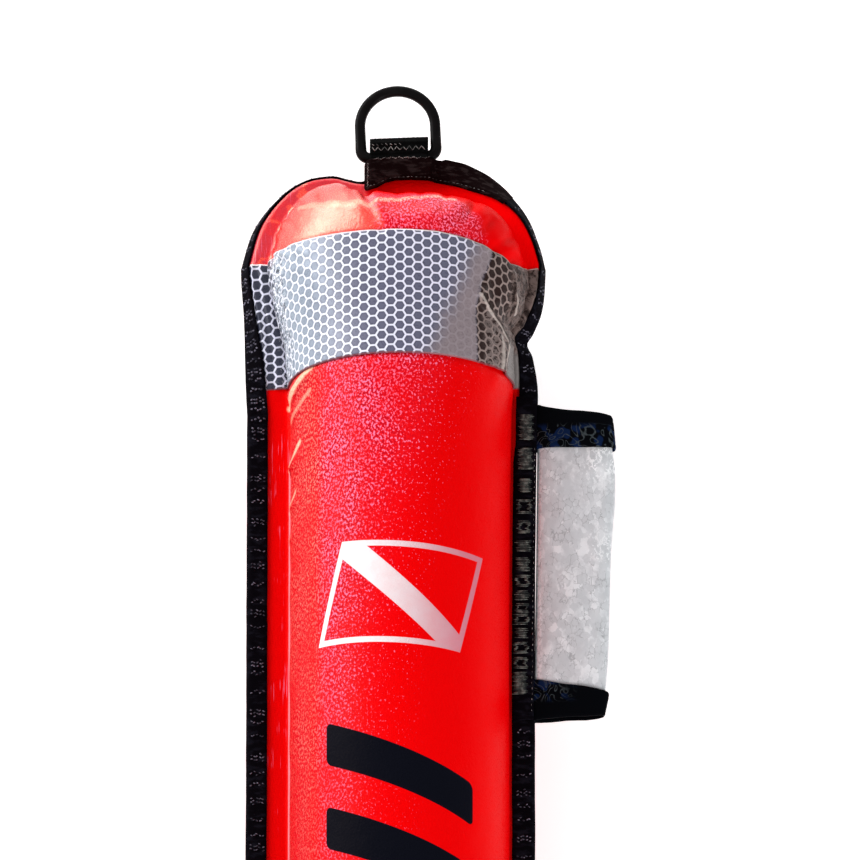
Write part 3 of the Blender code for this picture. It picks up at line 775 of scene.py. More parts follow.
def flag_mask(x, y):
    """1 on the flag's outline and stripe: a plain leaning rectangle with a diagonal."""
    cross = FLAG_ACROSS[0] * FLAG_UP[1] - FLAG_ACROSS[1] * FLAG_UP[0]
    dx, dy = x - FLAG_CENTRE[0], y - FLAG_CENTRE[1]
    a = dx * (FLAG_UP[1] / cross) - dy * (FLAG_UP[0] / cross)
    b = dy * (FLAG_ACROSS[0] / cross) - dx * (FLAG_ACROSS[1] / cross)
    edge = (FLAG_WIDE / 2 - abs(a) * FLAG_WIDE).least(FLAG_TALL / 2 - abs(b) * FLAG_TALL)
    outline = edge.step(FLAG_LINE - 0.25, FLAG_LINE, 1.0, 0.0)
    stripe = (abs(a + b) * FLAG_CORNER_GAP).step(FLAG_STRIPE, FLAG_STRIPE + 0.25, 1.0, 0.0)
    return edge.step(-PRINT_SOFT, PRINT_SOFT) * outline.most(stripe)


def bars_mask(paint, x, y):
    """1 on a column of slanted, round-cornered bars down the tube."""
    near = BAR_FIRST - (y - x * math.tan(BAR_ANGLE))
    across = (near % BAR_PITCH - BAR_MIDDLE) * math.cos(BAR_ANGLE)
    qx = abs(x) - (BAR_HALF_LONG - BAR_CORNER)
    qy = abs(across) - (BAR_HALF_TALL - BAR_CORNER)
    outer = paint.length(qx.most(0.0), qy.most(0.0)) - BAR_CORNER
    last = BAR_COUNT * BAR_PITCH
    column = near.step(-0.5, 0.0) * near.step(last, last - 0.5)
    return outer.step(-PRINT_SOFT, PRINT_SOFT, 1.0, 0.0) * column


def coated_fabric(name, printed):
    """Red coated nylon: a fine woven ground under a satin coat, with the prints on the front; its
    colour also holds painted glints, sheen, highlights and shade.
    """
    paint = Paint(name, RED, 0.40, IOR=1.7, Specular_Tint=SHINE_TINT)
    flat = paint.flat()
    x, y, from_crown = paint.split(flat)
    head = y.step(508.0, 520.0)
    lobe = head * ((y - 525.0) * 0.3 + x).step(-4.0, -12.0)
    steep = from_crown.step(0.46, 0.56) * (head - lobe)
    bubbles = (paint.noise(flat, 0.13, 2.0, 0.6) - 0.5) * (lobe * 0.7)
    margin = (from_crown + bubbles).step(0.96, 1.01)
    dashes = paint.noise(paint.join(x * 1.4, y), 0.8, 2.0, 0.6)
    grain = paint.noise(paint.join(x * 1.4, y), 1.1, 3.0, 0.7)
    cloudy = paint.noise(paint.join(x, y * 0.6), 0.06, 3.0, 0.65)
    up = (y - 320.0).most(0.0) / 135.0
    beyond = x - up * up * 24.0
    # The band on the tube's left and middle that holds the painted glints, the painted sheen and
    # the painted shade in the grain
    across = beyond.step(2.0, -34.0)
    glint = ((across - 1.0) * 0.13 + dashes).step(0.52, 0.57)
    # Dark dashes of painted shade in the woven grain, among the glints
    grain_shade = dashes.step(0.49, 0.43) * across
    shown = cloudy.step(0.34, 0.62, 0.45, 1.0) * beyond.step(12.0, 0.0)
    shown = shown * (1.0 - margin) * y.step(240.0, 440.0, 0.45, 1.0)
    shown = shown * (1.0 - (lobe * 0.9).most(steep))
    # Painted sheen and painted glints: pink in the middle, orange at the far left
    glint_tint = paint.mix(x.step(-30.0, -40.0), GLINT_PINK, GLINT_ORANGE)
    paint.coat(shown * across * 0.03, glint_tint)
    # Painted shade on the far left of the tube, away from the head and the weld margin
    shaded = x.step(-30.0, -46.0) * (1.0 - head) * (1.0 - margin)
    paint.coat(shaded * 0.45, RED_SHADE)
    shown = shown * (1.0 - shaded * 0.22)
    paint.coat(glint * (shown * 0.6), glint_tint)
    paint.coat(grain_shade * (shown * 0.9), RED_SHADE)
    rough = grain.step(0.3, 0.75, 0.22, 0.42) - lobe * 0.06
    body = beyond.step(-4.0, -34.0, 0.0, 0.008) + x.step(-34.0, -52.0, 0.0, 0.004)
    on_head = lobe.most(x.step(44.0, 26.0, 0.0, 0.04))
    gloss = (body + head * (on_head - body)) * (1.0 - steep)
    gloss = gloss * margin.step(0.0, 1.0, 1.0, 0.25) * 0.98 + 0.02
    gloss = gloss * (1.0 - head * x.step(18.0, 34.0) * 0.85)
    paint.coat(margin * lobe * cloudy.step(0.3, 0.6, 0.45, 0.9), RIM_RED)
    if printed:
        # Painted reflection streaks on the far left weld margin
        reflection_streak = paint.noise(paint.join(x * 2.2, y * 0.05), 1.0, 2.0)
        reflection_streak = reflection_streak.step(0.60, 0.66) * cloudy.step(0.46, 0.56)
        paint.coat(reflection_streak * (margin * x.step(-60.0, -64.0)) * 0.4, GLINT_PINK)
        # A painted glint, pale pink, along the weld root on the tube's left
        weld = abs(from_crown - 1.0).step(0.012, 0.004)
        weld = weld * (y.step(448.0, 436.0) * x.step(-50.0, -60.0))
        paint.coat(weld * 0.5, (0.85, 0.5, 0.58))
        # Painted highlights and shades along the creases
        for points, width, share, shade in CREASE_LIGHT_AND_SHADE:
            mask = paint.strokes(x, y, points, width) * grain.step(0.3, 0.6, 0.45, 1.0)
            paint.coat(mask * share, shade)
        # A painted highlight along the crest, which is also made glossier
        crest_highlight = paint.strokes(x, y, CREST_HIGHLIGHT_LINE, 2.6) * dashes.step(0.40, 0.56, 0.15, 1.0)
        paint.coat(crest_highlight * 0.45, HIGHLIGHT_PEACH)
        gloss = gloss.most(crest_highlight * 0.7)
        flag, bars = flag_mask(x, y), bars_mask(paint, x, y)
        # The flag's white fades into painted shade towards the right
        wear_and_shade = paint.mix(x.step(-22.0, 34.0), PRINT_WHITE, PRINT_SHADED)
        patchy = paint.noise(flat, 0.12, 4.0, 0.7).step(0.3, 0.7, 0.88, 1.0)
        paint.coat(flag * patchy, wear_and_shade)
        paint.coat(bars, PRINT_BLACK)
        rough = rough + flag.most(bars) * 0.08
        gloss = gloss * bars.step(0.0, 1.0, 1.0, 0.3)
    fine = paint.bump(dashes + grain * 0.8, 0.0002, 0.8)
    broad = paint.bump(paint.noise(flat, 0.16, 2.0), 0.0006, 0.35, Normal=fine)
    return paint.finish(Roughness=rough, Specular_IOR_Level=gloss, Normal=broad)


# Band

# How far the band stands off the skin, its thickness, and its gap inside the tape
BAND_GAP = 0.32
BAND_THICK = 0.55
HEM_GAP = 0.14
# How far the band's upper edge slips down at its right end: unrolled x, and mm
SLIP_X = (0.0, 15.0, 31.0, 40.7, 52.3, 62.0, 70.0, 77.0)
SLIP = (0.0, 0.3, 2.1, 4.2, 6.4, 5.2, 2.4, 1.8)
# Sharp folds of the band's right end, as lines in the photo: points, width, height in mm
FOLDS = [
    ([(512, 274), (511, 294), (511, 313)], 1.5, 0.9),
    ([(478, 295), (484, 306), (491, 318), (503, 342)], 1.4, 0.9),
    ([(482, 295), (488, 306), (495, 318), (506, 340)], 1.6, -0.8),
    ([(496, 340), (499, 358), (499, 376)], 1.6, 0.7),
    ([(504, 343), (503, 360), (501, 376)], 1.4, 0.8),
]


def refined(skin, rows, distances, across):
    """Half of the band, finely spaced: places, normals, flat places, arc, run and root's arc."""
    extra = stack(skin.arc[rows], SEAM.run[rows][:, None], skin.root_arc[rows][:, None])
    block = np.concatenate([skin.base[rows], skin.normal[rows], skin.flat[rows], extra], axis=2)
    old_d = HALF_LENGTH - skin.base[rows, 0, 1]
    order = np.argsort(old_d)
    block = block[order]
    columns = np.arange(block.shape[1])
    column_at = np.linspace(0, columns[-1], columns[-1] * across + 1)
    for old, new in ((old_d[order], distances), (columns, column_at)):
        block = curve_through(old, block.reshape(len(old), -1), new)
        block = block.reshape(len(new), -1, 12).transpose(1, 0, 2)
    return [block[..., :3], unit(block[..., 3:6]), block[..., 6:9], *np.moveaxis(block, 2, 0)[9:]]


def slid_down(parts):
    """One half of the band with its upper rows drawn from lower down where the edge slips."""
    rows, columns = parts[3].shape
    spacing = (BAND_BOTTOM - BAND_TOP) / (rows - 1)
    row = np.arange(rows)[:, None]
    amount = np.interp(parts[2][0, :, 0], SLIP_X, SLIP)
    place = row + amount / spacing * (1.0 - row / (rows - 1)) ** 2
    whole = np.minimum(place.astype(int), rows - 2)
    column = np.arange(columns)
    slid = []
    for values in parts:
        share = (place - whole).reshape(rows, columns, *[1] * (values.ndim - 2))
        slid.append(values[whole, column] * (1.0 - share) + values[whole + 1, column] * share)
    return slid


def foil_creases(p, side):
    """Small sharp crumples of the stiff foil, strongest at the pinch and at the welded root."""
    if side < 0:
        return 0.25 * fractal(p, 14.0, 31, 3, ridged=True)
    u, v = photo_spot(p)
    sharp = fractal(p / (1.0, 1.3, 1.0), 8.0, 33, 4, ridged=True)
    fine = fractal(p, 3.4, 37, 2, ridged=True)
    pinch = smooth(474, 500, u) * smooth(262, 290, v)
    calm = 1.0 - 0.85 * smooth(499, 506, u) * smooth(346, 356, v)
    amount = 0.12 * fractal(p, 22.0, 35, 2) + pinch * (sharp + 0.36 * fine) * calm
    for points, width, height in FOLDS:
        amount += height * near_line(u, v, points, width)[0]
    return amount + smooth(300, 276, u) * (0.65 * sharp + 0.22 * fine)


def reflective_band(name, side, material):
    """The honeycomb tape across one face, following the skin, with its own small creases."""
    skin = Skin(side)
    d = HALF_LENGTH - SEAM.spine[:, 1]
    straight = np.abs(SEAM.root[:, 1] - SEAM.spine[:, 1]) < 1e-6
    close = straight & (d > BAND_TOP - 0.5) & (d < BAND_BOTTOM + 7.0)
    spacing, across = (1.05, 3) if side > 0 else (2.4, 1)
    distances = np.linspace(BAND_TOP + 0.01, BAND_BOTTOM, int((BAND_BOTTOM - BAND_TOP) / spacing))
    on_right = SEAM.root[:, 0] > 0
    left, right = (
        refined(skin, np.nonzero(close & half)[0], distances, across)
        for half in (~on_right, on_right)
    )
    if side > 0:
        right = slid_down(right)
    sheets = [np.concatenate([a[:, ::-1], b[:, 1:]], axis=1) for a, b in zip(left, right)]
    if side < 0:
        keep = sheets[3][0] < sheets[5][0] + 0.2
        sheets = [part[:, keep] for part in sheets]
    p, normal, flat, arc, run, root_arc = sheets
    loose = smooth(root_arc + 6.5, root_arc + 3.0, arc)
    amount = skin_relief(p, root_arc - arc, run, side) + BAND_GAP
    amount += foil_creases(p, side) * loose
    amount = np.where(arc > root_arc, np.maximum(amount, 0.12), amount)
    amount = np.where(arc > root_arc + 5.0, HEM_GAP, amount)
    # The honeycomb reads the side and the share down the band from the third number
    flat[..., 2] = side * (1.0 + np.linspace(0.0, 1.0, len(flat))[:, None])
    top = p + normal * amount[..., None]
    low = top - normal * BAND_THICK
    points = np.concatenate([low[:1], top, low[-1:]])
    points[..., 2] = np.maximum(points[..., 2], FLOOR_CLEAR)
    flat = np.concatenate([flat[:1], flat, flat[-1:]])
    made = make_mesh(name, points, grid_faces(*points.shape[:2]), material, flat=flat)
    face_out(made, (0, 0, side))
    return made


# Binding


def tape_stations():
    """Stations of the folded tape, from its cut end left of the ring right round to the other."""
    x, y = SEAM.root.T
    head = y > HALF_LENGTH - FAN_DEPTH
    first = np.nonzero(head & (x < TAPE_FIRST_X))[0][0]
    order = np.roll(np.arange(SEAM.count), -first)
    stop = np.nonzero((head & (x <= TAPE_LAST_X) & (x > TAPE_FIRST_X))[order])[0][0]
    lead = np.nonzero(head & (x >= TAPE_FIRST_X) & (x < TAPE_LAST_X - 1.4))[0]
    return np.concatenate([lead, order[: stop + 1]])


def tape_profile():
    """Closed section of the folded tape: along from the weld, square to it; outer face first."""
    face = [(0.9, -0.25), (1.2, 0.02), (2.6, 0.12), (4.2, 0.02), (5.8, 0.12), (7.4, 0.1)]
    points = [(1.0, TAPE_INNER + 0.1), *[(a, TAPE_OUTER + b) for a, b in face]]
    mirrored = [(a, -b) for a, b in points[::-1]]
    for angle in math.pi * (0.5 - np.arange(1, 12) / 12):
        points.append((7.6 + 1.62 * math.cos(angle), (TAPE_OUTER + 0.08) * math.sin(angle)))
    return np.array([*points, *mirrored, (8.4, -TAPE_INNER), (8.4, TAPE_INNER)])


def edge_tape(name, material):
    """The folded tape: wavy, wider at the head's right, reaching further in along that side."""
    order = tape_stations()
    start, along, square = SEAM.edge[:, order, None]
    run = chord_lengths(start[:, 0])[:, None]
    wave = fractal(stack(run, 0.0, 0.0), 16.0, 41, 3)
    lift = fractal(stack(run, 9.0, 0.0), 7.0, 43, 3)
    x, y = SEAM.root[order].T[..., None]
    extra = 1.9 * smooth(8.0, 22.0, x) * smooth(505.0, 535.0, y)
    hug = 0.85 * smooth(30.0, 42.0, x) * smooth(452.0, 440.0, y)
    hug += 1.6 * bell(x, 42.0, 8.0) * smooth(515.0, 530.0, y)
    hug -= smooth(-12.0, -6.0, x) * smooth(28.0, 20.0, x) * smooth(515.0, 530.0, y)
    a, b = tape_profile().T
    a = a + (a < 2.0) * (0.22 * wave - 0.1 - hug)
    a = a + (0.18 * wave + extra) * smooth(5.0, 8.5, a)
    b = b * (1.0 + 0.05 * lift * (np.abs(b) > TAPE_INNER + 0.05))
    points = start + along * a[..., None] + square * b[..., None]
    points[..., 2] = np.maximum(points[..., 2], FLOOR_CLEAR)
    return tube_mesh(name, points, material)


def tape_stitches(name, material):
    """Rows of short stitches across the folded tape, every 4 to 9 mm, on both faces."""
    edge = SEAM.edge[:, tape_stations()]
    run = chord_lengths(edge[0])

    def at(length, reach, lift):
        spot, out, up = (along_line(run, part, length) for part in edge)
        return spot + out * reach + up * lift

    lines = []
    for side in (1, -1):
        level = side * (TAPE_OUTER + 0.06)
        length, row, close = 6.0, 0, False
        while length < run[-1] - 4.0:
            for line in range(2 if row % 3 == 1 else 1):
                for k in range(5):
                    reach = 1.9 + 1.15 * k + 0.25 * math.sin(row * 1.3 + k * 2.2)
                    here = length + 1.5 * line + 0.5 * math.sin(row * 2.1 + k * 1.9)
                    a = at(here, reach, level)
                    b = at(here + 0.6 * math.sin(row + k * 2.7), reach + 0.95, level)
                    up = at(here, 0.0, side) - at(here, 0.0, 0.0)
                    lines.append((a, b, 0.42 if close else 0.3, up))
            x, y, _ = at(length, 0.0, 0.0)
            close = x < 0.0 and 455.0 < y < 530.0
            length += 4.4 if close else 6.6 + 2.2 * math.sin(row * 1.7)
            row += 1
    return stitches(name, lines, material)


# Webbing tabs, their covers and the rings

WEB_HALF_THICK = 0.56
# Height of the webbing's middle line over the middle of the fold
WEB_RISE = 3.1
WEB_EDGES = (-11.7, 11.8)
RIB_PITCH = 2.1
CORD_PITCH = 1.9
COVER_THICK = 0.55
# Ends of a short patch, and where its right end starts to narrow
PATCH_LEFT = -13.9
PATCH_RIGHT = 16.6
PATCH_TAIL = 10.5
LONG_COVER_THICK = 0.6
RING_RADIUS = 2.0
RING_SQUARENESS = 2.7


def webbing_line():
    """Middle line of the webbing folded over the bar: distance out from the edge, and height."""
    half, bend, tail, steps = WEB_RISE, 6.2, 14.8, 14
    line = [(bend - tail + tail * k / steps, half) for k in range(steps)]
    for angle in math.pi * (0.5 - np.arange(steps + 1) / steps):
        line.append((bend + half * math.cos(angle), half * math.sin(angle)))
    return np.array(line + [(bend - tail * k / steps, -half) for k in range(1, steps + 1)])


def webbing_tab(name, end, centre_x, material):
    """Woven webbing with ribs across it and soft raised edges."""
    line = webbing_line()
    length = chord_lengths(line)
    run = np.arange(0.0, length[-1], 0.42)
    line = curve_through(length, line, run)
    tangent = unit(np.gradient(line, axis=0))
    xs = np.linspace(*WEB_EDGES, 33)
    away = np.abs(xs)
    half = WEB_HALF_THICK + 0.09 * np.sin(2 * math.pi * run / RIB_PITCH)[:, None]
    half = half - 0.22 * np.clip((away - 11.0) / 0.8, 0, 1) ** 2
    half = half + 0.05 * np.cos(2 * math.pi * xs / CORD_PITCH)
    # The inner face is thinner at the sides, where the ring's leaning bar would cut it
    inner = half - 0.19 * np.clip((away - 5.0) / 5.0, 0, 1)
    skew = RING_LEAN * xs * smooth(-2.0, 5.0, line[:, :1])
    layers = []
    for thick in (half, -inner):
        y = HALF_LENGTH + line[:, :1] - tangent[:, 1:] * thick + skew
        z = AXIS_HEIGHT + line[:, 1:] + tangent[:, :1] * thick
        layers.append(stack(centre_x + xs, end * y, z))
    return tube_mesh(name, np.concatenate([layers[0], layers[1][:, ::-1]], axis=1), material)


def tab_stitches(name, end, centre_x, material):
    """Rows of pale zigzag stitches across the webbing, above and below the bound edge."""
    lines = []
    for side in (1, -1):
        z = AXIS_HEIGHT + side * (WEB_RISE + WEB_HALF_THICK + 0.1)
        for low, high, step in ((3.3, 5.0, 1.25), (5.7, 6.3, 0.9)):
            xs = np.arange(-10.8, 10.9, step)
            for i, ends in enumerate(zip(xs, xs[1:])):
                if high > 6.0 and (i % 2 or xs[i] > 1.0):
                    continue
                line = []
                for x, y, rate in zip(ends, (low, high) if i % 2 else (high, low), (2.3, 1.9)):
                    y += RING_LEAN * x + 0.2 * math.sin(i * rate)
                    line.append((centre_x + x, end * (HALF_LENGTH + y), z))
                lines.append((*line, 0.15, (0, 0, side)))
    return stitches(name, lines, material)


def clear_of_ring(points, centre_x):
    """Draws fabric back from where the legs of a ring swing past it."""
    x, y = points[..., 0], points[..., 1]
    legs = smooth(3.4, 2.4, np.abs(np.abs(x - centre_x) - RING_HALF))
    over = np.maximum(np.abs(y) - (HALF_LENGTH - 0.65), 0.0)
    return points - (np.sign(y) * over * legs)[..., None] * (0.0, 1.0, 0.0)


def cover_height(x):
    """How high the patch rides at x from the tab's middle: up over the webbing, down beside it."""
    return 3.25 + 1.55 * smooth(14.6, 12.0, np.abs(x))


# Radius of the rounded corners of a patch's cut end
CORNER = 2.6


def rounded_end(into):
    """How far a cut end's corners are drawn in, by the distance into the tape."""
    short = 1.0 - np.clip(into / CORNER, 0, 1)
    return CORNER * (1.0 - np.sqrt(1.0 - short**2))


def tab_cover(name, end, side, centre_x, material):
    """A short length of tape draped over a webbing tail, its left end cut and rounded."""
    x = np.linspace(PATCH_LEFT, PATCH_RIGHT, 45)[None, :]
    t = np.linspace(0, 1, 19)[:, None]
    cut = rounded_end(x - PATCH_LEFT)
    tail = smooth(PATCH_TAIL, PATCH_RIGHT, x)
    wave = fractal(stack(x, t * 4, side * 5 + end * 3), 9.0, 51, 3)
    near = -0.6 + cut * 0.55 + 1.1 * tail + 0.25 * wave
    far = 11.2 - cut * 0.6 - 1.9 * tail + 0.3 * fractal(stack(x, 0.0, side), 7.0, 53, 2)
    d = near + (far - near) * t
    z = cover_height(x) + 0.22 * wave - 0.5 * smooth(13.5, PATCH_RIGHT, x)
    z = z - 0.55 * smooth(0.86, 1.0, t) - 0.35 * smooth(0.12, 0.0, t) - 0.3 * bell(t, 0.72, 0.06)
    top = stack(centre_x + x, end * (HALF_LENGTH - d), AXIS_HEIGHT + side * z)
    top = clear_of_ring(top, centre_x)
    return sheet_mesh(name, top, top - (0.0, 0.0, side * COVER_THICK), material)


def cover_stitches(name, end, side, centre_x, material):
    """The light dotted line of stitches along a patch's inner edge."""
    lines = []
    for x in np.arange(-12.6, 15.0, 1.9):
        y = HALF_LENGTH - 8.0 + 1.2 * smooth(PATCH_TAIL, PATCH_RIGHT, x)
        z = AXIS_HEIGHT + side * cover_height(x)
        a, b = (centre_x + x, end * y, z), (centre_x + x + 1.0, end * (y - 0.1), z)
        lines.append((a, b, 0.17, (0, 0, side)))
    return stitches(name, lines, material)


# Inner edge of the outer cover at the head: x, and how far out from the weld it lies
COVER_X = (-14.5, -13.2, -9.6, -6.0, -2.0, 4.0, 10.0, 16.0, 22.0, 28.0, 32.0, 38.0)
COVER_LOW = (-3.6, -3.7, -2.5, -0.5, 0.6, 1.1, 1.1, 0.7, 0.4, -0.5, -1.0, -1.3)


def long_cover(name, material, thread_material):
    """The outer length of tape at the head: over the webbing, then along the bound edge."""
    root_x, root_y = SEAM.root.T
    head = root_y > HALF_LENGTH - FAN_DEPTH
    left, right = COVER_X[0], COVER_X[-1]
    picked = np.nonzero(head & (root_x > left - 1.1) & (root_x < right + 1.0))[0]
    picked = picked[np.argsort(root_x[picked])]
    x, t = np.linspace(left, right, 96)[:, None], np.linspace(0.0, 1.0, 22)
    held = np.maximum(x, -8.0)
    start, along, square = (
        curve_through(root_x[picked], part[picked], held[:, 0])[:, None] for part in SEAM.edge
    )
    start = start + stack(x - held, 0.0, 0.0)
    over = smooth(14.6, 11.6, np.abs(x + 0.5))
    cut = rounded_end(x - left)
    wave = fractal(stack(x, 5 * t, 0.0), 9.0, 55, 3)
    ruffle = fractal(stack(x, 0.0, 0.0), 6.0, 57, 2)
    low = np.interp(x, COVER_X, COVER_LOW) + 0.6 * cut + 0.12 * ruffle
    high = 10.4 - 0.6 * cut + 0.2 * ruffle + RING_LEAN * x * smooth(20.0, 14.0, x)
    high = high + 1.3 * smooth(10.0, 24.0, x) * smooth(39.0, 28.0, x)
    a = low + (high - low) * t
    rim = 1.0 - np.clip(np.minimum(t, 1.0 - t) / 0.05, 0, 1)
    b = 2.65 + 2.2 * over - 0.25 * smooth(20.0, 38.0, x) + 0.2 * wave
    b = b - (0.75 + 0.5 * over) * rim**2 - 0.5 * cut / CORNER * over
    b = b - 0.35 * bell(t, 0.1, 0.03) - 0.2 * bell(t, 0.9, 0.03)
    top = start + along * a[..., None] + square * b[..., None]
    low = top - square * LONG_COVER_THICK
    centre = RING_X["head"]
    patch = sheet_mesh(name, clear_of_ring(top, centre), clear_of_ring(low, centre), material)
    lines = []
    for row, first, last, step, size in ((2, 1.5, 52.0, 1.75, 0.15), (20, 5.0, 27.0, 0.8, 0.11)):
        line = top[:, row]
        run = chord_lengths(line)
        for k, length in enumerate(np.arange(first, last, step)):
            ends = along_line(run, line, [length, length + 0.9 + 0.3 * math.sin(k * 2.1)])
            if step < 1.0:
                ends[1, 1] += 0.5 * math.sin(k * 1.7)
            lines.append((*ends, size, along_line(run, square[:, 0], length)))
    raised = top + (0.0, 0.0, 0.2)
    for k in range(2, 18):
        lines.append((raised[2 + k % 2, k], raised[3 - k % 2, k + 1], 0.13, (0, 0, 1)))
    return patch, stitches(name + "_stitches", lines, thread_material)


def ring_line():
    """Centre line of the moulded ring, finely spaced: x, and distance out from the bar."""
    corner, height = 3.6, 28.4
    side = RING_HALF - corner
    points = []
    for x, y, radius, start, sweep, steps in (
        (side, corner, corner, -90, 90, 10),
        (0.0, height - RING_HALF, RING_HALF, 0, 180, 44),
        (-side, corner, corner, 180, 90, 10),
    ):
        for angle in np.radians(start + sweep * np.arange(steps + 1) / steps):
            points.append((x + radius * math.cos(angle), y + radius * math.sin(angle)))
    dense = []
    for (x, y), (nx, ny) in zip(points, points[1:] + points[:1]):
        extra = max(1, int(math.hypot(nx - x, ny - y) / 1.2))
        dense += [(x + (nx - x) * k / extra, y + (ny - y) * k / extra) for k in range(extra)]
    return np.array(dense)


def d_ring(name, end, centre_x, material):
    """Moulded ring: a softly squared section, thickest at its lower corners."""
    path = ring_line()
    along = unit(np.roll(path, -1, axis=0) - np.roll(path, 1, axis=0))
    x, y = path.T[..., None]
    bulk = 0.12 * bell(np.abs(x), 14.0, 3.5) * bell(y, 3.0, 4.0)
    angle = 2 * math.pi * (np.arange(20) + 0.5) / 20
    c, s = np.cos(angle), np.sin(angle)
    grow = (np.abs(c) ** RING_SQUARENESS + np.abs(s) ** RING_SQUARENESS) ** (-1 / RING_SQUARENESS)
    r = (RING_RADIUS + bulk) * grow
    x, y = x + along[:, 1:] * r * 1.06 * c, y - along[:, :1] * r * 1.06 * c
    x, y = x - RING_LEAN * y, y + RING_LEAN * x
    points = stack(centre_x + x, end * (HALF_LENGTH + RING_OUT + y), AXIS_HEIGHT + r * 0.97 * s)
    return tube_mesh(name, points, material, closed=True)


# Sleeve

# Distance from the head's edge, left and right edge of the pale sleeve, read from the photo
SLEEVE_D = (104, 112, 121, 131, 141, 156, 167, 187, 207, 223, 233, 240)
SLEEVE_LEFT = (55.2, 55.1, 54.9, 54.8, 54.7, 54.5, 54.4, 54.1, 53.8, 53.5, 53.4, 53.3)
SLEEVE_RIGHT = (83.4, 84.2, 84.9, 86.0, 86.0, 85.0, 84.3, 83.7, 83.2, 82.2, 80.8, 80.0)
THICK_D = (104.0, 118.0, 140.0, 200.0, 222.0, 232.0, 240.0)
THICK = (2.7, 3.3, 3.9, 3.8, 2.9, 2.1, 1.7)
AROUND = 2 * math.pi * (np.arange(80) + 0.5) / 80
SPREAD = (1.0 + np.cos(AROUND)) / 2


def sleeve_surface(distances, offset):
    """Rings of the flattened sleeve, pushed out by offset."""
    edges = curve_through(SLEEVE_D, stack(SLEEVE_LEFT, SLEEVE_RIGHT), distances)
    half = (edges[:, 1:] - edges[:, :1]) / 2 + offset
    thick = np.interp(distances, THICK_D, THICK)[:, None] + offset
    c, s = np.cos(AROUND), np.sin(AROUND)
    x = edges.mean(axis=1)[:, None] + half * np.sign(c) * np.abs(c) ** 0.74
    z = AXIS_HEIGHT + thick * np.sign(s) * np.abs(s) ** 0.55
    return stack(x, HALF_LENGTH - distances[:, None], z)


def light_sleeve(name, material):
    """The pale sleeve, with shallow dents and sharp little folds of limp vinyl film."""
    distances = np.linspace(108.5, 235.0, 92)
    outer, inner = sleeve_surface(distances, 0.0), sleeve_surface(distances, -0.7)
    broad = fractal(outer / (1.0, 1.6, 2.0), 17.0, 61, 2)
    sharp = fractal(outer / (1.0, 1.2, 2.0), 9.0, 63, 3, ridged=True)
    corner = bell(outer[..., 0], 84.0, 9.0) * bell(HALF_LENGTH - outer[..., 1], 130.0, 14.0)
    dents = 0.8 * broad + (0.26 + 0.7 * corner) * sharp
    hold = smooth(106.5, 124.0, distances) * smooth(235.0, 221.0, distances)
    shift = np.maximum(dents * hold[:, None], -1.2) * (outer[..., 2] - AXIS_HEIGHT) / max(THICK)
    share = np.linspace(0.0, 1.0, len(distances))[:, None]
    top, bottom = 109.6 + 1.8 * SPREAD**2, 236.6 - 2.4 * SPREAD
    outer[..., 1] = inner[..., 1] = HALF_LENGTH - (top + (bottom - top) * share)
    outer[..., 2] += shift
    inner[..., 2] += shift * 0.9
    return tube_mesh(name, np.concatenate([outer, inner[::-1]]), material, closed=True)


def cuff(name, upper, material):
    """Folded black tape round one open end of the sleeve, with wavy edges."""
    if upper:
        end_d = 107.4 + 2.2 * SPREAD**2 - 2.6 * (1 - SPREAD) ** 5
        hem_d = 123.9 - 0.6 * SPREAD
    else:
        end_d, hem_d = 238.6 - 2.4 * SPREAD, 221.2 + 5.4 * SPREAD
    t = np.linspace(0.0, 1.0, 22)[:, None]
    d = end_d + (hem_d - end_d) * t
    mean = np.clip(d.mean(axis=1), SLEEVE_D[0], SLEEVE_D[-1])
    base, outer, inner = (sleeve_surface(mean, offset) for offset in (0.0, 1.35, 0.35))
    wave = fractal(stack(base[..., 0], 0.0, base[..., 1]), 11.0, 71, 3)
    ends = np.maximum(smooth(0.09, 0.0, t), smooth(0.93, 1.0, t))
    thin = 0.45 * ends + 0.16 * (bell(t, 0.16, 0.03) + bell(t, 0.86, 0.03))
    outward = outer - outer.mean(axis=1)[:, None]
    outward[..., 1] = 0.0
    outer += unit(outward) * (0.22 * wave - thin)[..., None]
    outer[..., 1] = inner[..., 1] = HALF_LENGTH - (d + 0.35 * wave * (0.4 + ends))
    return tube_mesh(name, np.concatenate([outer, inner[::-1]]), material, closed=True)


STRIP_START = 102.0
STRIP_LENGTH = 136.5
STRIP_TOP = STRIP_BASE + 1.1
# Section of the strip, from its left edge to its right
STRIP_ACROSS = np.array([0.0, 0.0, 0.06, 0.3, 0.6, 0.9, 1.0, 1.0])
STRIP_HEIGHT = np.array([0.0, 0.62, 0.98, 1.06, 1.0, 1.06, 0.7, 0.0])


def sleeve_strip(name, material):
    """The webbing strip under the sleeve's edge, with a soft woven surface and wavy edges."""
    share = np.linspace(0.0, 1.0, 150)[:, None]
    d = STRIP_START + STRIP_LENGTH * share
    wave = fractal(stack(d, 0.0, 0.0), 12.0, 73)
    left = 46.4 - 1.5 * share + 0.3 * wave
    right = 54.9 - 1.7 * share + 0.12 * wave
    x = left + (right - left) * STRIP_ACROSS
    z = AXIS_HEIGHT + STRIP_BASE + STRIP_HEIGHT
    return tube_mesh(name, stack(x, HALF_LENGTH - d, z), material)


# Bar tacks down the strip: distance of the middle, height, and whether the middle is left open
TACKS = [
    *[(115.0, 10.2, False), (128.4, 8.6, False), (139.8, 5.2, False), (148.8, 5.6, True)],
    *[(157.4, 5.0, True), (165.4, 4.2, False), (173.3, 5.4, False), (180.2, 4.6, True)],
    *[(186.4, 3.6, False), (191.6, 3.4, True), (196.6, 4.2, True), (202.2, 3.8, False)],
    *[(208.6, 4.4, True), (214.8, 4.4, True), (223.6, 9.0, False)],
]


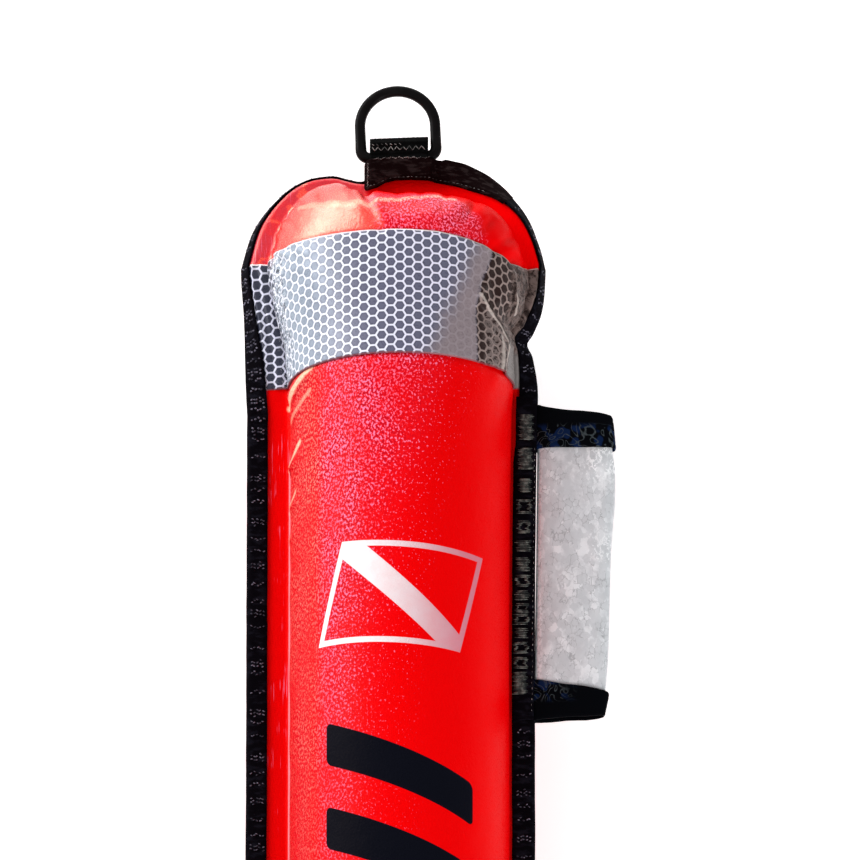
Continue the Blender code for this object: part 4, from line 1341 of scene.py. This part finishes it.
def ladder_stitches(name, material):
    """The dense grey bar tacks down the strip; some are left open in the middle."""
    lines = []
    z = AXIS_HEIGHT + STRIP_TOP
    for index, (d, tall, hollow) in enumerate(TACKS):
        centre = 50.6 - 2.9 * (d - 110.0) / 120.0
        half = 2.7 + 0.25 * math.sin(index * 2.7)
        rows = max(5, int(tall / 0.55))
        for k in range(rows):
            y = HALF_LENGTH - (d - tall / 2 + tall * k / (rows - 1))
            spans = [(-half, half)]
            if hollow and 1 < k < rows - 2:
                spans = [(-half, -half + 1.5), (half - 1.5, half)]
            jog = 0.5 * math.sin(index * 1.7 + k * 2.1) + 0.3 * math.sin(k * 5.3 + index)
            other = 0.5 * math.sin(index * 2.9 + k * 1.3)
            drop = 0.45 * math.sin(index * 3.1)
            width = 0.26 + 0.06 * math.sin(k * 2.3 + index)
            for a, b in spans:
                start, stop = (centre + a + jog, y, z), (centre + b + other, y - drop, z)
                lines.append((start, stop, width, (0, 0, 1)))
    return stitches(name, lines, material)


def edge_specks(name, material):
    """A line of small pale stitches beside the sleeve."""
    lines = []
    z = AXIS_HEIGHT + STRIP_TOP - 0.02
    for i, d in enumerate(np.arange(124.0, 236.0, 2.3)):
        x = 54.1 - 1.7 * (d - STRIP_START) / STRIP_LENGTH + 0.15 * math.sin(i * 1.3)
        y = HALF_LENGTH - d
        lines.append(((x, y, z), (x, y - 0.9, z), 0.12, (0, 0, 1)))
    return stitches(name, lines, material)


# Valves


def around(segments):
    return 2 * math.pi * np.arange(segments)[:, None] / segments


def rounded_profile(profile, radius):
    """The lathe profile with every corner off the axis replaced by a small three-point round."""
    corners = np.array(profile, float)
    points = []
    for i, here in enumerate(corners):
        if here[0] < 1e-6:
            points.append(here)
            continue
        ends = []
        for other in (corners[i - 1], corners[(i + 1) % len(corners)]):
            length = np.linalg.norm(other - here)
            ends.append(here + (other - here) / length * min(radius, 0.4 * length))
        points += [ends[0], (ends[0] + ends[1]) / 4 + here / 2, ends[1]]
    return np.array(points)


def lathe(name, profile, y, material, segments=56, radius=0.25, ribs=0, depth=0.0, beyond=0.0):
    """A turned piece on the crown, at y; ribs, if any, are pressed into the wall past a radius."""
    r, z = rounded_profile(profile, radius).T
    turn = around(segments)
    out = r - depth * (0.5 - 0.5 * np.cos(ribs * turn)) * (r > beyond)
    rings = stack(out * np.cos(turn), y + out * np.sin(turn), CROWN + z)
    return sharpen(tube_mesh(name, rings, material, closed=True, merge=0.002), 40.0)


def sharpen(made, degrees):
    """Smooth shading that keeps edges sharper than the given angle."""
    bm = bmesh.new()
    bm.from_mesh(made.data)
    for edge in bm.edges:
        if len(edge.link_faces) == 2 and edge.calc_face_angle(0.0) > math.radians(degrees):
            edge.smooth = False
    bm.to_mesh(made.data)
    bm.free()
    return made


def crown_point(radius, turn, y, level):
    """A place round a valve, at a level above the tube's curved crown."""
    bend = radius * np.cos(turn) / TUBE_RADIUS
    out = TUBE_RADIUS + level
    return stack(out * np.sin(bend), y + radius * np.sin(turn), AXIS_HEIGHT + out * np.cos(bend))


def crown_patch(name, radius, hole, y, material):
    """The welded flange: a moulded washer on the tube's curve, with a fine ring of weld marks."""
    rim = [(0.4, 0.35), (0.0, 0.6), (0.0, 0.95), (0.7, 1.35), (1.6, 1.62), (2.4, 1.45), (3.2, 1.75)]
    rim = [(radius - r, level) for r, level in rim]
    r, level = np.array([(hole, 0.55), *rim, (hole + 1.5, 1.8), (hole, 1.75)]).T
    turn = around(72)
    marked = (r > radius - 3.4) & (r < radius - 1.0)
    points = crown_point(r, turn, y, level + 0.06 * np.cos(36 * turn) * marked)
    return tube_mesh(name, points, material, closed=True, flat=points)


def relief_base(name, material):
    """The relief valve's body; its skirt follows the flange."""
    r, z = np.array(BODY).T
    turn = around(72)
    above = stack(r * np.cos(turn), RELIEF_Y + r * np.sin(turn), CROWN + z)
    skirt_r, skirt_z = np.array([(12.0, 2.1), (15.7, 2.1), (16.0, 2.45)]).T
    skirt = crown_point(skirt_r, turn, RELIEF_Y, skirt_z)
    made = tube_mesh(name, np.concatenate([above, skirt], axis=1), material, closed=True)
    return sharpen(made, 35.0)


VENTS = 6
VENT_SIZE = (5.0, 2.0, 8.0)
VENT_PLACE = (7.2, 0.0, 11.0)


def cut_vents(made):
    """Cuts the vents through the cap."""
    bm = bmesh.new()
    for k in range(VENTS):
        turn = 2 * math.pi * (k + 0.5) / VENTS
        verts = bmesh.ops.create_cube(bm, size=1.0)["verts"]
        bmesh.ops.scale(bm, vec=VENT_SIZE, verts=verts)
        bmesh.ops.translate(bm, vec=VENT_PLACE, verts=verts)
        bmesh.ops.rotate(bm, cent=(0, 0, 0), matrix=Matrix.Rotation(turn, 3, "Z"), verts=verts)
    bmesh.ops.scale(bm, vec=(MM, MM, MM), verts=bm.verts)
    mesh = bpy.data.meshes.new("vent_cutter")
    bm.to_mesh(mesh)
    bm.free()
    cutter = bpy.data.objects.new("vent_cutter", mesh)
    bpy.context.scene.collection.objects.link(cutter)
    cutter.location = (0.0, RELIEF_Y * MM, CROWN * MM)
    step = made.modifiers.new("vents", "BOOLEAN")
    step.operation = "DIFFERENCE"
    step.solver = "EXACT"
    step.object = cutter
    bpy.context.view_layer.update()
    graph = bpy.context.evaluated_depsgraph_get()
    result = bpy.data.meshes.new_from_object(made.evaluated_get(graph))
    made.modifiers.clear()
    made.data = result
    bpy.data.objects.remove(cutter)
    return sharpen(made, 35.0)


def coil(name, radii, heights, turns, wire, y, material):
    """A round-wire coil as a mesh."""
    steps = 28
    angle = 2 * math.pi * np.arange(turns * steps + 1)[:, None] / steps
    share = angle / angle[-1]
    section = 2 * math.pi * np.arange(8) / 8
    r = radii[0] + (radii[1] - radii[0]) * share + wire * np.cos(section)
    z = heights[0] + (heights[1] - heights[0]) * share + wire * np.sin(section)
    return tube_mesh(name, stack(r * np.cos(angle), y + r * np.sin(angle), CROWN + z), material)


# Lathe profiles: radius, and height over the crown
BARREL = [
    *[(3.4, -6.0), (7.0, -6.0), (7.0, 2.2), (9.2, 2.2), (9.2, 4.8), (7.0, 4.8), (7.0, 17.0)],
    *[(5.0, 17.0), (5.0, 2.2), (2.2, 2.2), (2.2, 0.5), (4.8, 0.5), (4.8, -3.0), (3.4, -4.4)],
]
LOCK_RING = [(7.4, 6.0), (9.4, 6.0), (9.8, 6.4), (9.8, 9.6), (9.4, 10.0), (7.4, 10.0)]
MOUTHPIECE = [
    *[(7.4, 15.4), (8.8, 15.4), (9.0, 16.0), (9.0, 22.4), (8.2, 23.6), (6.6, 24.4), (6.2, 30.0)],
    *[(7.6, 34.6), (7.6, 36.0), (6.8, 36.8), (4.3, 36.8), (4.3, 23.6), (7.4, 22.8)],
]
STEM = [
    *[(0.0, -9.2), (4.6, -9.2), (4.6, -7.8), (1.4, -7.8)],
    *[(1.4, 19.6), (3.9, 20.2), (3.9, 21.4), (0.0, 21.4)],
]
INFLATOR_SEAL = [(1.8, -7.5), (5.6, -7.5), (5.6, -6.3), (1.8, -6.3)]
BODY = [
    *[(16.0, 3.6), (13.6, 4.2), (13.6, 7.4), (12.4, 7.4), (12.4, 3.4)],
    *[(10.4, 3.4), (10.4, 4.4), (9.0, 4.4), (9.0, -4.0), (12.0, -4.0)],
]
CAP = [
    *[(1.8, 10.0), (11.9, 10.0), (12.1, 7.7), (14.0, 7.7), (14.0, 4.7), (16.0, 4.3)],
    *[(16.4, 5.0), (16.4, 8.4), (14.8, 10.8), (10.0, 12.0), (1.8, 12.2)],
]
RELIEF_SEAL = [(8.6, 4.7), (11.4, 4.7), (11.4, 5.5), (8.6, 5.5)]
DISC = [
    *[(0.0, 5.0), (8.2, 5.0), (8.2, 5.8), (11.5, 5.8)],
    *[(11.5, 7.0), (1.4, 7.0), (1.4, 13.6), (0.0, 13.6)],
]
KNOB = [(0.0, 13.9), (4.6, 13.9), (5.4, 14.7), (5.4, 17.4), (4.2, 18.6), (0.0, 19.0)]


# More materials

# Pitch of the honeycomb's cells in mm, and scale of the vinyl's crinkled patches
HEX_PITCH = 4.17
CELL_SCALE = 0.42
ROOT_3 = 1.7320508
FOLD_HIGHLIGHT = (0.58, 0.50, 0.46)
FOLD_SHADE = (0.012, 0.007, 0.006)
# Painted highlights and shades along the folds of the band's right end, unrolled: start, stop,
# width, strength, colour
FOLD_LIGHT_AND_SHADE = [
    ((54.0, 515.0), (55.4, 505.0), 0.8, 0.55, FOLD_HIGHLIGHT),
    ((55.4, 505.0), (58.2, 500.5), 0.7, 0.5, FOLD_HIGHLIGHT),
    ((34.6, 501.6), (53.4, 486.0), 0.9, 0.7, FOLD_SHADE),
    ((33.3, 501.2), (52.4, 485.8), 0.6, 0.55, FOLD_HIGHLIGHT),
    ((47.6, 486.0), (47.2, 470.4), 1.5, 0.55, FOLD_HIGHLIGHT),
    ((52.6, 485.0), (49.6, 471.0), 0.8, 0.75, FOLD_HIGHLIGHT),
    ((50.0, 484.0), (48.6, 470.4), 0.5, 0.6, FOLD_SHADE),
]


def honeycomb(name):
    """Retroreflective honeycomb film: pale seal lines round silvery cells, creased at its ends,
    with a painted highlight on its left part, painted light and shade along its folds and a painted
    shadow under its lower edge.
    """
    paint = Paint(name, (0.3, 0.3, 0.34), 0.3)
    flat = paint.flat()
    x, y, side = paint.split(flat)
    near = []
    for shift in (0.0, 0.5):
        du = abs((x / (ROOT_3 * HEX_PITCH) - shift).from_round() * (ROOT_3 * HEX_PITCH))
        dv = abs((y / HEX_PITCH - shift).from_round() * HEX_PITCH)
        near.append(dv.most(du * (ROOT_3 / 2) + dv * 0.5))
    edge = HEX_PITCH / 2 - near[0].least(near[1])
    line = edge.step(0.28, 0.5, 1.0, 0.0)
    wide = edge.step(0.3, 1.3, 1.0, 0.0)

    place = x + (paint.noise(flat, 0.11, 3.0, 0.6) - 0.5) * 9.0
    fine = paint.noise(flat, 0.9, 3.0, 0.7)
    lit = place.step(-14.0, -50.0)
    share = abs(side) - 1.0
    jitter = (fine - 0.5) * 3.0
    bend = x + (y - 503.0).most(0.0) * -0.42 + jitter
    dull = (place - (y - 472.0) * 0.42).step(5.0, 18.0) * bend.step(34.0, 32.6)
    brown = bend.step(32.6, 34.0)

    # The left part is painted lighter and bluer as a painted highlight, which also thins the dark
    # rims beside the lines
    paint.color = paint.mix(lit, (0.10, 0.10, 0.155), (0.25, 0.295, 0.36))
    paint.coat(wide * lit.step(0.0, 1.0, 0.55, 0.25), (0.035, 0.035, 0.06))
    pale = paint.mix(dull, (0.66, 0.67, 0.75), (0.40, 0.33, 0.34))
    pale = paint.mix(place.step(-20.0, 14.0), pale, (0.72, 0.70, 0.84))
    line = line * dull.step(0.1, 0.9, 1.0, 0.4)
    paint.coat(line, pale)
    paint.coat(dull * 0.86, paint.mix(fine, (0.19, 0.145, 0.155), (0.31, 0.25, 0.26)))
    paint.coat(brown, paint.mix(line, (0.022, 0.011, 0.010), (0.27, 0.205, 0.19)))
    blot = paint.noise(flat, 0.42, 5.0, 0.75, 0.6).step(0.40, 0.60)
    mottled = paint.mix(blot, (0.012, 0.006, 0.005), (0.15, 0.105, 0.095))
    paint.coat((x + jitter).step(50.0, 53.0), mottled)
    torn = x.step(36.0, 39.0) * y.step(497.0, 494.0)
    torn = torn * paint.noise(flat, 0.5, 3.0, 0.7).step(0.44, 0.52)
    paint.coat(torn * 0.7, (0.22, 0.17, 0.16))
    paint.coat(x.step(53.0, 55.0) * y.step(488.0, 485.0) * 0.85, (0.24, 0.22, 0.215))
    # Painted highlights and shades along the folds
    for start, stop, width, strength, shade in FOLD_LIGHT_AND_SHADE:
        paint.coat(paint.stroke(x, y, start, stop, width) * strength, shade)
    navy = paint.mix(line, (0.022, 0.024, 0.045), (0.60, 0.60, 0.72))
    paint.coat(place.step(-62.0, -68.0), navy)
    root = place.step(-52.0, -58.0) * place.step(-72.0, -68.0)
    scrap = paint.noise(flat, 0.55, 4.0, 0.75, 0.8)
    paint.coat(root * scrap.step(0.46, 0.42), (0.02, 0.025, 0.04))
    paint.coat(root * scrap.step(0.54, 0.60), (0.9, 0.9, 0.95))
    trim = paint.mix(x.step(0.0, 30.0), (0.72, 0.66, 0.68), (0.42, 0.30, 0.26))
    paint.coat(share.step(0.010, 0.007, 0.0, 0.8), trim)
    # A painted shadow along the band's lower edge
    paint.coat(share.step(0.987, 0.993, 0.0, 0.8), (0.22, 0.03, 0.04))
    plain = paint.mix(line, (0.30, 0.31, 0.36), (0.84, 0.85, 0.92))
    paint.coat(side.step(0.0, 0.01, 1.0, 0.0), plain)
    right_end = brown.most(dull * 0.5)
    return paint.finish(
        Roughness=line * 0.25 + fine.step(0.3, 0.7, 0.24, 0.4),
        Specular_IOR_Level=right_end.step(0.0, 1.0, 0.35, 0.06),
        Metallic=right_end.step(0.0, 1.0, 0.1, 0.0),
        Normal=paint.bump(line + fine * 0.5, 0.00012, 0.6),
    )


def woven_tape(name, color, pale, rough=0.72, scale=0.42):
    """Black woven tape: fine ribs, loose pale fibres, a faint sheen and lighter streaks of painted
    glints across the ribs.
    """
    paint = Paint(name, color, rough, Specular_IOR_Level=0.012)
    place = paint.place()
    x, y, z = paint.split(place)
    ribs = paint.ribs(place, scale, Distortion=1.6, Detail=2.0)
    fibre = paint.noise(place, 1.5, 4.0, 0.75)
    patch = paint.noise(place, 0.09, 3.0)
    # Lighter streaks of painted glints across the ribs
    rib_glint = paint.noise(paint.join(x * 0.35, y, z), 0.5, 3.0, 0.6).step(0.48, 0.66)
    paint.coat(rib_glint * 0.35, tuple(0.45 * c for c in pale))
    paint.coat(fibre.step(0.64, 0.74) * patch.step(0.42, 0.62, 0.15, 0.8), pale)
    return paint.finish(Normal=paint.bump(ribs + fibre, 0.0001, 0.6))


def thread_paint(name, color, pale):
    paint = Paint(name, color, 0.5, Specular_IOR_Level=0.12)
    place = paint.place()
    paint.coat(paint.noise(place, 0.35, 3.0, 0.65).step(0.4, 0.65), pale)
    return paint.finish(Normal=paint.bump(paint.ribs(place, 2.2), 0.00006, 0.5))


def moulded(name, color, rough, grain=1.2, depth=0.00005, specular=0.5):
    """Moulded plastic with a fine mould texture and slight wear."""
    paint = Paint(name, color, rough, Specular_IOR_Level=specular)
    place = paint.place()
    fine = paint.noise(place, grain, 3.0, 0.6)
    wear_and_shade = paint.noise(place, 0.12, 3.0).step(0.45, 0.75, 0.0, 0.6)
    paint.coat(wear_and_shade, tuple(min(1.0, c * 1.5 + 0.004) for c in color))
    rough = fine.step(0.25, 0.8, rough - 0.08, rough + 0.12)
    return paint.finish(Roughness=rough, Normal=paint.bump(fine, depth, 0.5))


def frosted_vinyl(name):
    """Milky film: cloudy light grey patches with small bright crinkles, painted shade along its
    creases and painted glints at its upper right and left edge.
    """
    paint = Paint(name, (0.56, 0.57, 0.60), 0.32, Specular_IOR_Level=0.6)
    x, y, z = paint.split(paint.place())
    low = y * 0.75
    film = paint.join(x, low, z)
    cloud = paint.noise(film, 0.17, 4.0, 0.62, 0.3)
    small = paint.noise(film, 0.8, 3.0, 0.7)
    folds = paint.noise(film, 0.2, 3.0, 0.7, 0.4) * 3.2
    paint.color = paint.mix(cloud.step(0.38, 0.62), (0.55, 0.565, 0.59), (0.73, 0.745, 0.77))
    bent = paint.join(x + folds, low + small * 3.2, z + folds)
    shade = paint.split(paint.cells(bent, CELL_SCALE, "Color"))[0]
    paint.coat(shade.step(0.2, 0.8, 0.0, 0.7), (0.50, 0.515, 0.54))
    edge = paint.cells(bent, CELL_SCALE, "Distance", "DISTANCE_TO_EDGE")
    wear_and_shade = paint.noise(film, 0.2, 2.0).step(0.44, 0.56)
    # Painted shade along the crinkles' creases, in patches
    paint.coat(edge.step(0.05, 0.015) * wear_and_shade * 0.7, (0.27, 0.28, 0.30))
    paint.coat(small.step(0.36, 0.31) * cloud.step(0.50, 0.42) * 0.45, (0.26, 0.27, 0.29))
    # Painted glints near the upper right corner and in a small group lower down
    top = y.step(426.0, 438.0) * x.step(70.0, 78.0)
    foot = y.step(396.0, 400.0) * y.step(414.0, 408.0) * x.step(72.0, 79.0)
    vinyl_glint = small.step(0.56, 0.60).most(edge.step(0.09, 0.05) * wear_and_shade)
    paint.coat(vinyl_glint * top.most(foot * 0.7) * 0.9, (0.93, 0.94, 0.96))
    # A painted highlight along the film's left edge
    paint.coat(x.step(57.2, 55.8) * small.step(0.4, 0.6) * 0.8, (0.88, 0.89, 0.92))
    crinkle = paint.bump(cloud + small * 0.4, 0.0005, 0.4)
    return paint.finish(Roughness=cloud.step(0.3, 0.7, 0.34, 0.55), Normal=crinkle)


def cuff_tape(name):
    """Black binding on the sleeve with painted highlights: faint navy-grey swirls where its puckers
    catch the light.
    """
    paint = Paint(name, (0.001, 0.0012, 0.002), 0.62, Specular_IOR_Level=0.012)
    place = paint.place()
    x, y, _ = paint.split(place)
    # Painted highlights and sheen where the cuffs' puckers catch the light, in a band on each cuff
    glint_swirl = abs((paint.noise(place, 0.13, 1.0, 0.5, 1.2) * 6.0).from_round()).step(0.13, 0.05)
    navy_sheen = paint.noise(place, 0.2, 1.0).step(0.52, 0.60)
    upper = y.step(457.0, 454.0) * y.step(440.0, 447.0)
    lower = y.step(352.0, 349.0) * y.step(338.0, 342.0) * x.step(72.0, 60.0)
    zone = upper.most(lower)
    fine = paint.noise(place, 1.4, 3.0, 0.7)
    paint.coat(navy_sheen * zone, (0.004, 0.012, 0.045))
    paint.coat(glint_swirl * zone * fine.step(0.35, 0.6, 0.45, 0.95), (0.05, 0.062, 0.068))
    return paint.finish(Normal=paint.bump(fine, 0.0001, 0.6))


def spring_steel(name):
    """Drawn steel wire."""
    paint = Paint(name, (0.62, 0.61, 0.60), 0.25, Metallic=1.0)
    drawn = paint.noise(paint.place(), 2.5, 3.0, 0.6)
    paint.color = paint.mix(drawn, (0.5, 0.49, 0.48), (0.7, 0.69, 0.68))
    return paint.finish(Roughness=drawn.step(0.3, 0.7, 0.18, 0.36))


# Putting it together


def add(made, body, node=None):
    """Hangs a piece on its body, and hides the solid it replaces."""
    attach(made, body)
    if node:
        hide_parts(node)
    return made


def add_ends(tape, webbing, threads, ring):
    """Both ends' webbing, patches, stitches and rings."""
    for label, end in (("head", 1), ("foot", -1)):
        x = RING_X[label]
        strap = webbing_tab(label + "_webbing", end, x, webbing)
        add(strap, "bladder", label + "_tab")
        add(tab_stitches(label + "_webbing_stitches", end, x, threads), "bladder")
        for face, side in (("front", 1), ("back", -1)):
            name = f"{label}_patch_{face}"
            if label == "head" and face == "front":
                patch, line = long_cover(name, tape, threads)
            else:
                patch = tab_cover(name, end, side, x, tape)
                line = cover_stitches(name + "_stitches", end, side, x, threads)
            add(patch, "bladder", f"{label}_cover_{face}")
            add(line, "bladder")
        made = d_ring(label + "_d_ring", end, x, ring)
        add(made, label + "_ring", label + "_ring")


def add_valves(red, black, grey, rubber, steel):
    """The oral inflator and the relief valve, each on its welded flange."""
    y = INFLATOR_Y
    made = crown_patch("inflator_weld_flange", 18.0, 7.5, y, red)
    add(made, "bladder", "inflator_flange")
    made = lathe("inflator_body", BARREL, y, black)
    add(made, "bladder", "inflator_barrel")
    made = lathe("inflator_lock", LOCK_RING, y, grey, 144, 0.2, ribs=24, depth=0.32, beyond=9.0)
    add(made, "lock_ring", "inflator_lock_ring")
    made = lathe("inflator_mouth", MOUTHPIECE, y, black, 72, 0.3)
    add(made, "mouthpiece", "inflator_mouthpiece")
    made = lathe("inflator_rod", STEM, y, grey, 40, 0.2)
    add(made, "mouthpiece", "inflator_stem")
    made = lathe("inflator_washer", INFLATOR_SEAL, y, rubber, 40, 0.25)
    add(made, "mouthpiece", "inflator_seal")
    spring = coil("inflator_coil", (3.2, 3.2), (2.95, 18.9), 5, 0.45, y, steel)
    add(spring, "bladder", "inflator_spring")
    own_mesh(spring)

    y = RELIEF_Y
    made = crown_patch("relief_weld_flange", 23.0, 12.5, y, red)
    add(made, "bladder", "relief_flange")
    add(relief_base("relief_body", black), "bladder", "relief_base")
    cap = lathe("relief_vented_cap", CAP, y, black, 96, 0.3, ribs=24, depth=0.35, beyond=15.9)
    add(cut_vents(cap), "bladder", "relief_cap")
    made = lathe("relief_washer", RELIEF_SEAL, y, rubber, 48, 0.25)
    add(made, "relief_pull", "relief_seal")
    made = lathe("relief_plate", DISC, y, grey, 56, 0.2)
    add(made, "relief_pull", "relief_disc")
    made = lathe("relief_pull_knob", KNOB, y, grey, 96, 0.3, ribs=16, depth=0.3, beyond=5.0)
    add(made, "relief_pull", "relief_knob")
    spring = coil("relief_coil", (6.2, 3.4), (7.4, 9.6), 3, 0.3, y, steel)
    add(spring, "bladder", "relief_spring")
    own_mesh(spring)


def build():
    front_red = coated_fabric("coated_red_front", True)
    back_red = coated_fabric("coated_red_back", False)
    film = honeycomb("honeycomb_film")
    tape = woven_tape("tape_weave", (0.0015, 0.001, 0.002), (0.032, 0.032, 0.052))
    cover = woven_tape("cover_weave", (0.004, 0.001, 0.0012), (0.10, 0.07, 0.07))
    webbing = woven_tape("webbing_weave", (0.001, 0.001, 0.001), (0.015, 0.014, 0.015), 0.55, 0.84)
    dark_thread = thread_paint("dark_thread", (0.02, 0.018, 0.028), (0.17, 0.155, 0.205))
    pale_thread = thread_paint("pale_thread", (0.04, 0.04, 0.04), (0.34, 0.33, 0.32))
    ring_black = moulded("ring_satin", (0.003, 0.0025, 0.0027), 0.34, 0.9, 0.00003, 0.035)
    valve_black = moulded("valve_black_plastic", (0.01, 0.01, 0.011), 0.42, specular=0.3)
    valve_grey = moulded("valve_grey_plastic", (0.17, 0.175, 0.18), 0.42)
    rubber = moulded("seal_rubber_black", (0.02, 0.02, 0.02), 0.7, 1.6, 0.00008, 0.3)
    flange_red = coated_fabric("flange_red", False)
    vinyl = frosted_vinyl("sleeve_vinyl")
    cuffs = cuff_tape("cuff_weave")
    steel = spring_steel("spring_wire")

    front = bladder_skin("front_skin", 1, front_red)
    back = bladder_skin("back_skin", -1, back_red)
    for made, node in ((front, "front_panel"), (back, "back_panel")):
        add(made, "bladder", node)
    for face, side in (("front", 1), ("back", -1)):
        made = reflective_band("band_" + face, side, film)
        add(made, "bladder", "reflective_band_" + face)
    add(edge_tape("edge_tape", tape), "bladder", "edge_binding")
    add(tape_stitches("edge_stitches", dark_thread), "bladder")
    add_ends(cover, webbing, pale_thread, ring_black)
    add(light_sleeve("sleeve_film", vinyl), "bladder", "light_sleeve")
    for place in ("upper", "lower"):
        made = cuff("sleeve_cuff_" + place, place == "upper", cuffs)
        add(made, "bladder", f"sleeve_{place}_cuff")
    add(sleeve_strip("sleeve_webbing", tape), "bladder", "sleeve_strip")
    tack_thread = thread_paint("tack_thread", (0.025, 0.028, 0.027), (0.15, 0.16, 0.145))
    add(ladder_stitches("sleeve_bar_tacks", tack_thread), "bladder")
    add(edge_specks("sleeve_edge_stitches", pale_thread), "bladder")
    add_valves(flange_red, valve_black, valve_grey, rubber, steel)


# Camera, light and floor

CAMERA_TARGET = (0.012, 0.455, 0.0422)
CAMERA_DISTANCE = 8.0
FRAME_WIDTH = 0.344
SENSOR = 36.0
WORLD_STRENGTH = 0.24
FLOOR_GLOW = 0.5
# name, size, power, place, aimed at
LAMPS = [
    ("key_left", (1.2, 0.9), 9.0, (-1.45, 1.05, 1.05), (0.0, 0.40, 0.04)),
    ("head_glow", (1.7, 1.0), 54.0, (-1.3, 1.75, 0.62), (0.0, 0.53, 0.05)),
    ("crest_line", (1.0, 0.18), 10.0, (0.15, 2.3, 0.24), (0.0, 0.53, 0.05)),
    ("front_right", (1.2, 1.2), 50.0, (1.5, -1.2, 1.1), (0.0, 0.40, 0.04)),
    ("front_left", (1.2, 1.2), 12.0, (-0.6, -1.6, 1.5), (0.0, 0.40, 0.04)),
]


def white(tree, kind, strength):
    made = tree.nodes.new(kind)
    made.inputs["Color"].default_value = (1.0, 1.0, 1.0, 1.0)
    made.inputs["Strength"].default_value = strength
    return made.outputs[0]


def seen_mix(tree, unseen, seen):
    """One shader for rays from the camera, also reflected or let through, another for the rest."""
    path = tree.nodes.new("ShaderNodeLightPath")
    total = path.outputs["Is Camera Ray"]
    for kind in ("Is Glossy Ray", "Is Transmission Ray"):
        larger = tree.nodes.new("ShaderNodeMath")
        larger.operation = "MAXIMUM"
        tree.links.new(total, larger.inputs[0])
        tree.links.new(path.outputs[kind], larger.inputs[1])
        total = larger.outputs[0]
    mix = tree.nodes.new("ShaderNodeMixShader")
    for i, socket in enumerate((total, unseen, seen)):
        tree.links.new(socket, mix.inputs[i])
    return mix.outputs[0]


def white_floor():
    bpy.ops.mesh.primitive_plane_add(size=14.0, location=(0.0, 0.0, -0.0003))
    floor = bpy.context.object
    floor.name = "floor"
    paint = Paint("floor_white", (0.82, 0.82, 0.82), 0.8)
    floor.data.materials.append(paint.material)
    tree, plain = paint.tree, paint.shader.outputs[0]
    both = tree.nodes.new("ShaderNodeAddShader")
    tree.links.new(plain, both.inputs[0])
    tree.links.new(white(tree, "ShaderNodeEmission", FLOOR_GLOW), both.inputs[1])
    seen = seen_mix(tree, plain, both.outputs[0])
    tree.links.new(seen, tree.nodes["Material Output"].inputs[0])
    return floor


def placed(name, data, place, toward):
    made = bpy.data.objects.new(name, data)
    bpy.context.scene.collection.objects.link(made)
    made.location = place
    made.rotation_euler = toward.to_track_quat("-Z", "Y").to_euler()
    return made


def set_stage():
    scene = bpy.context.scene
    floor = white_floor()
    for name, size, energy, place, aim in LAMPS:
        data = bpy.data.lights.new(name, "AREA")
        data.shape = "RECTANGLE"
        data.size, data.size_y = size
        data.energy = energy
        placed(name, data, place, Vector(aim) - Vector(place))
    data = bpy.data.cameras.new("camera")
    data.sensor_width = SENSOR
    data.lens = SENSOR * CAMERA_DISTANCE / FRAME_WIDTH
    data.clip_end = 50.0
    back = Vector((0.0, -math.sin(TILT), math.cos(TILT)))
    camera = placed("camera", data, Vector(CAMERA_TARGET) + back * CAMERA_DISTANCE, -back)
    scene.camera = camera

    scene.world = bpy.data.worlds.new("studio")
    scene.world.use_nodes = True
    tree = scene.world.node_tree
    tree.nodes.clear()
    soft = white(tree, "ShaderNodeBackground", WORLD_STRENGTH)
    bright = white(tree, "ShaderNodeBackground", 1.0)
    out = tree.nodes.new("ShaderNodeOutputWorld")
    tree.links.new(seen_mix(tree, soft, bright), out.inputs[0])
    scene.view_settings.view_transform = "Standard"


build()
set_stage()
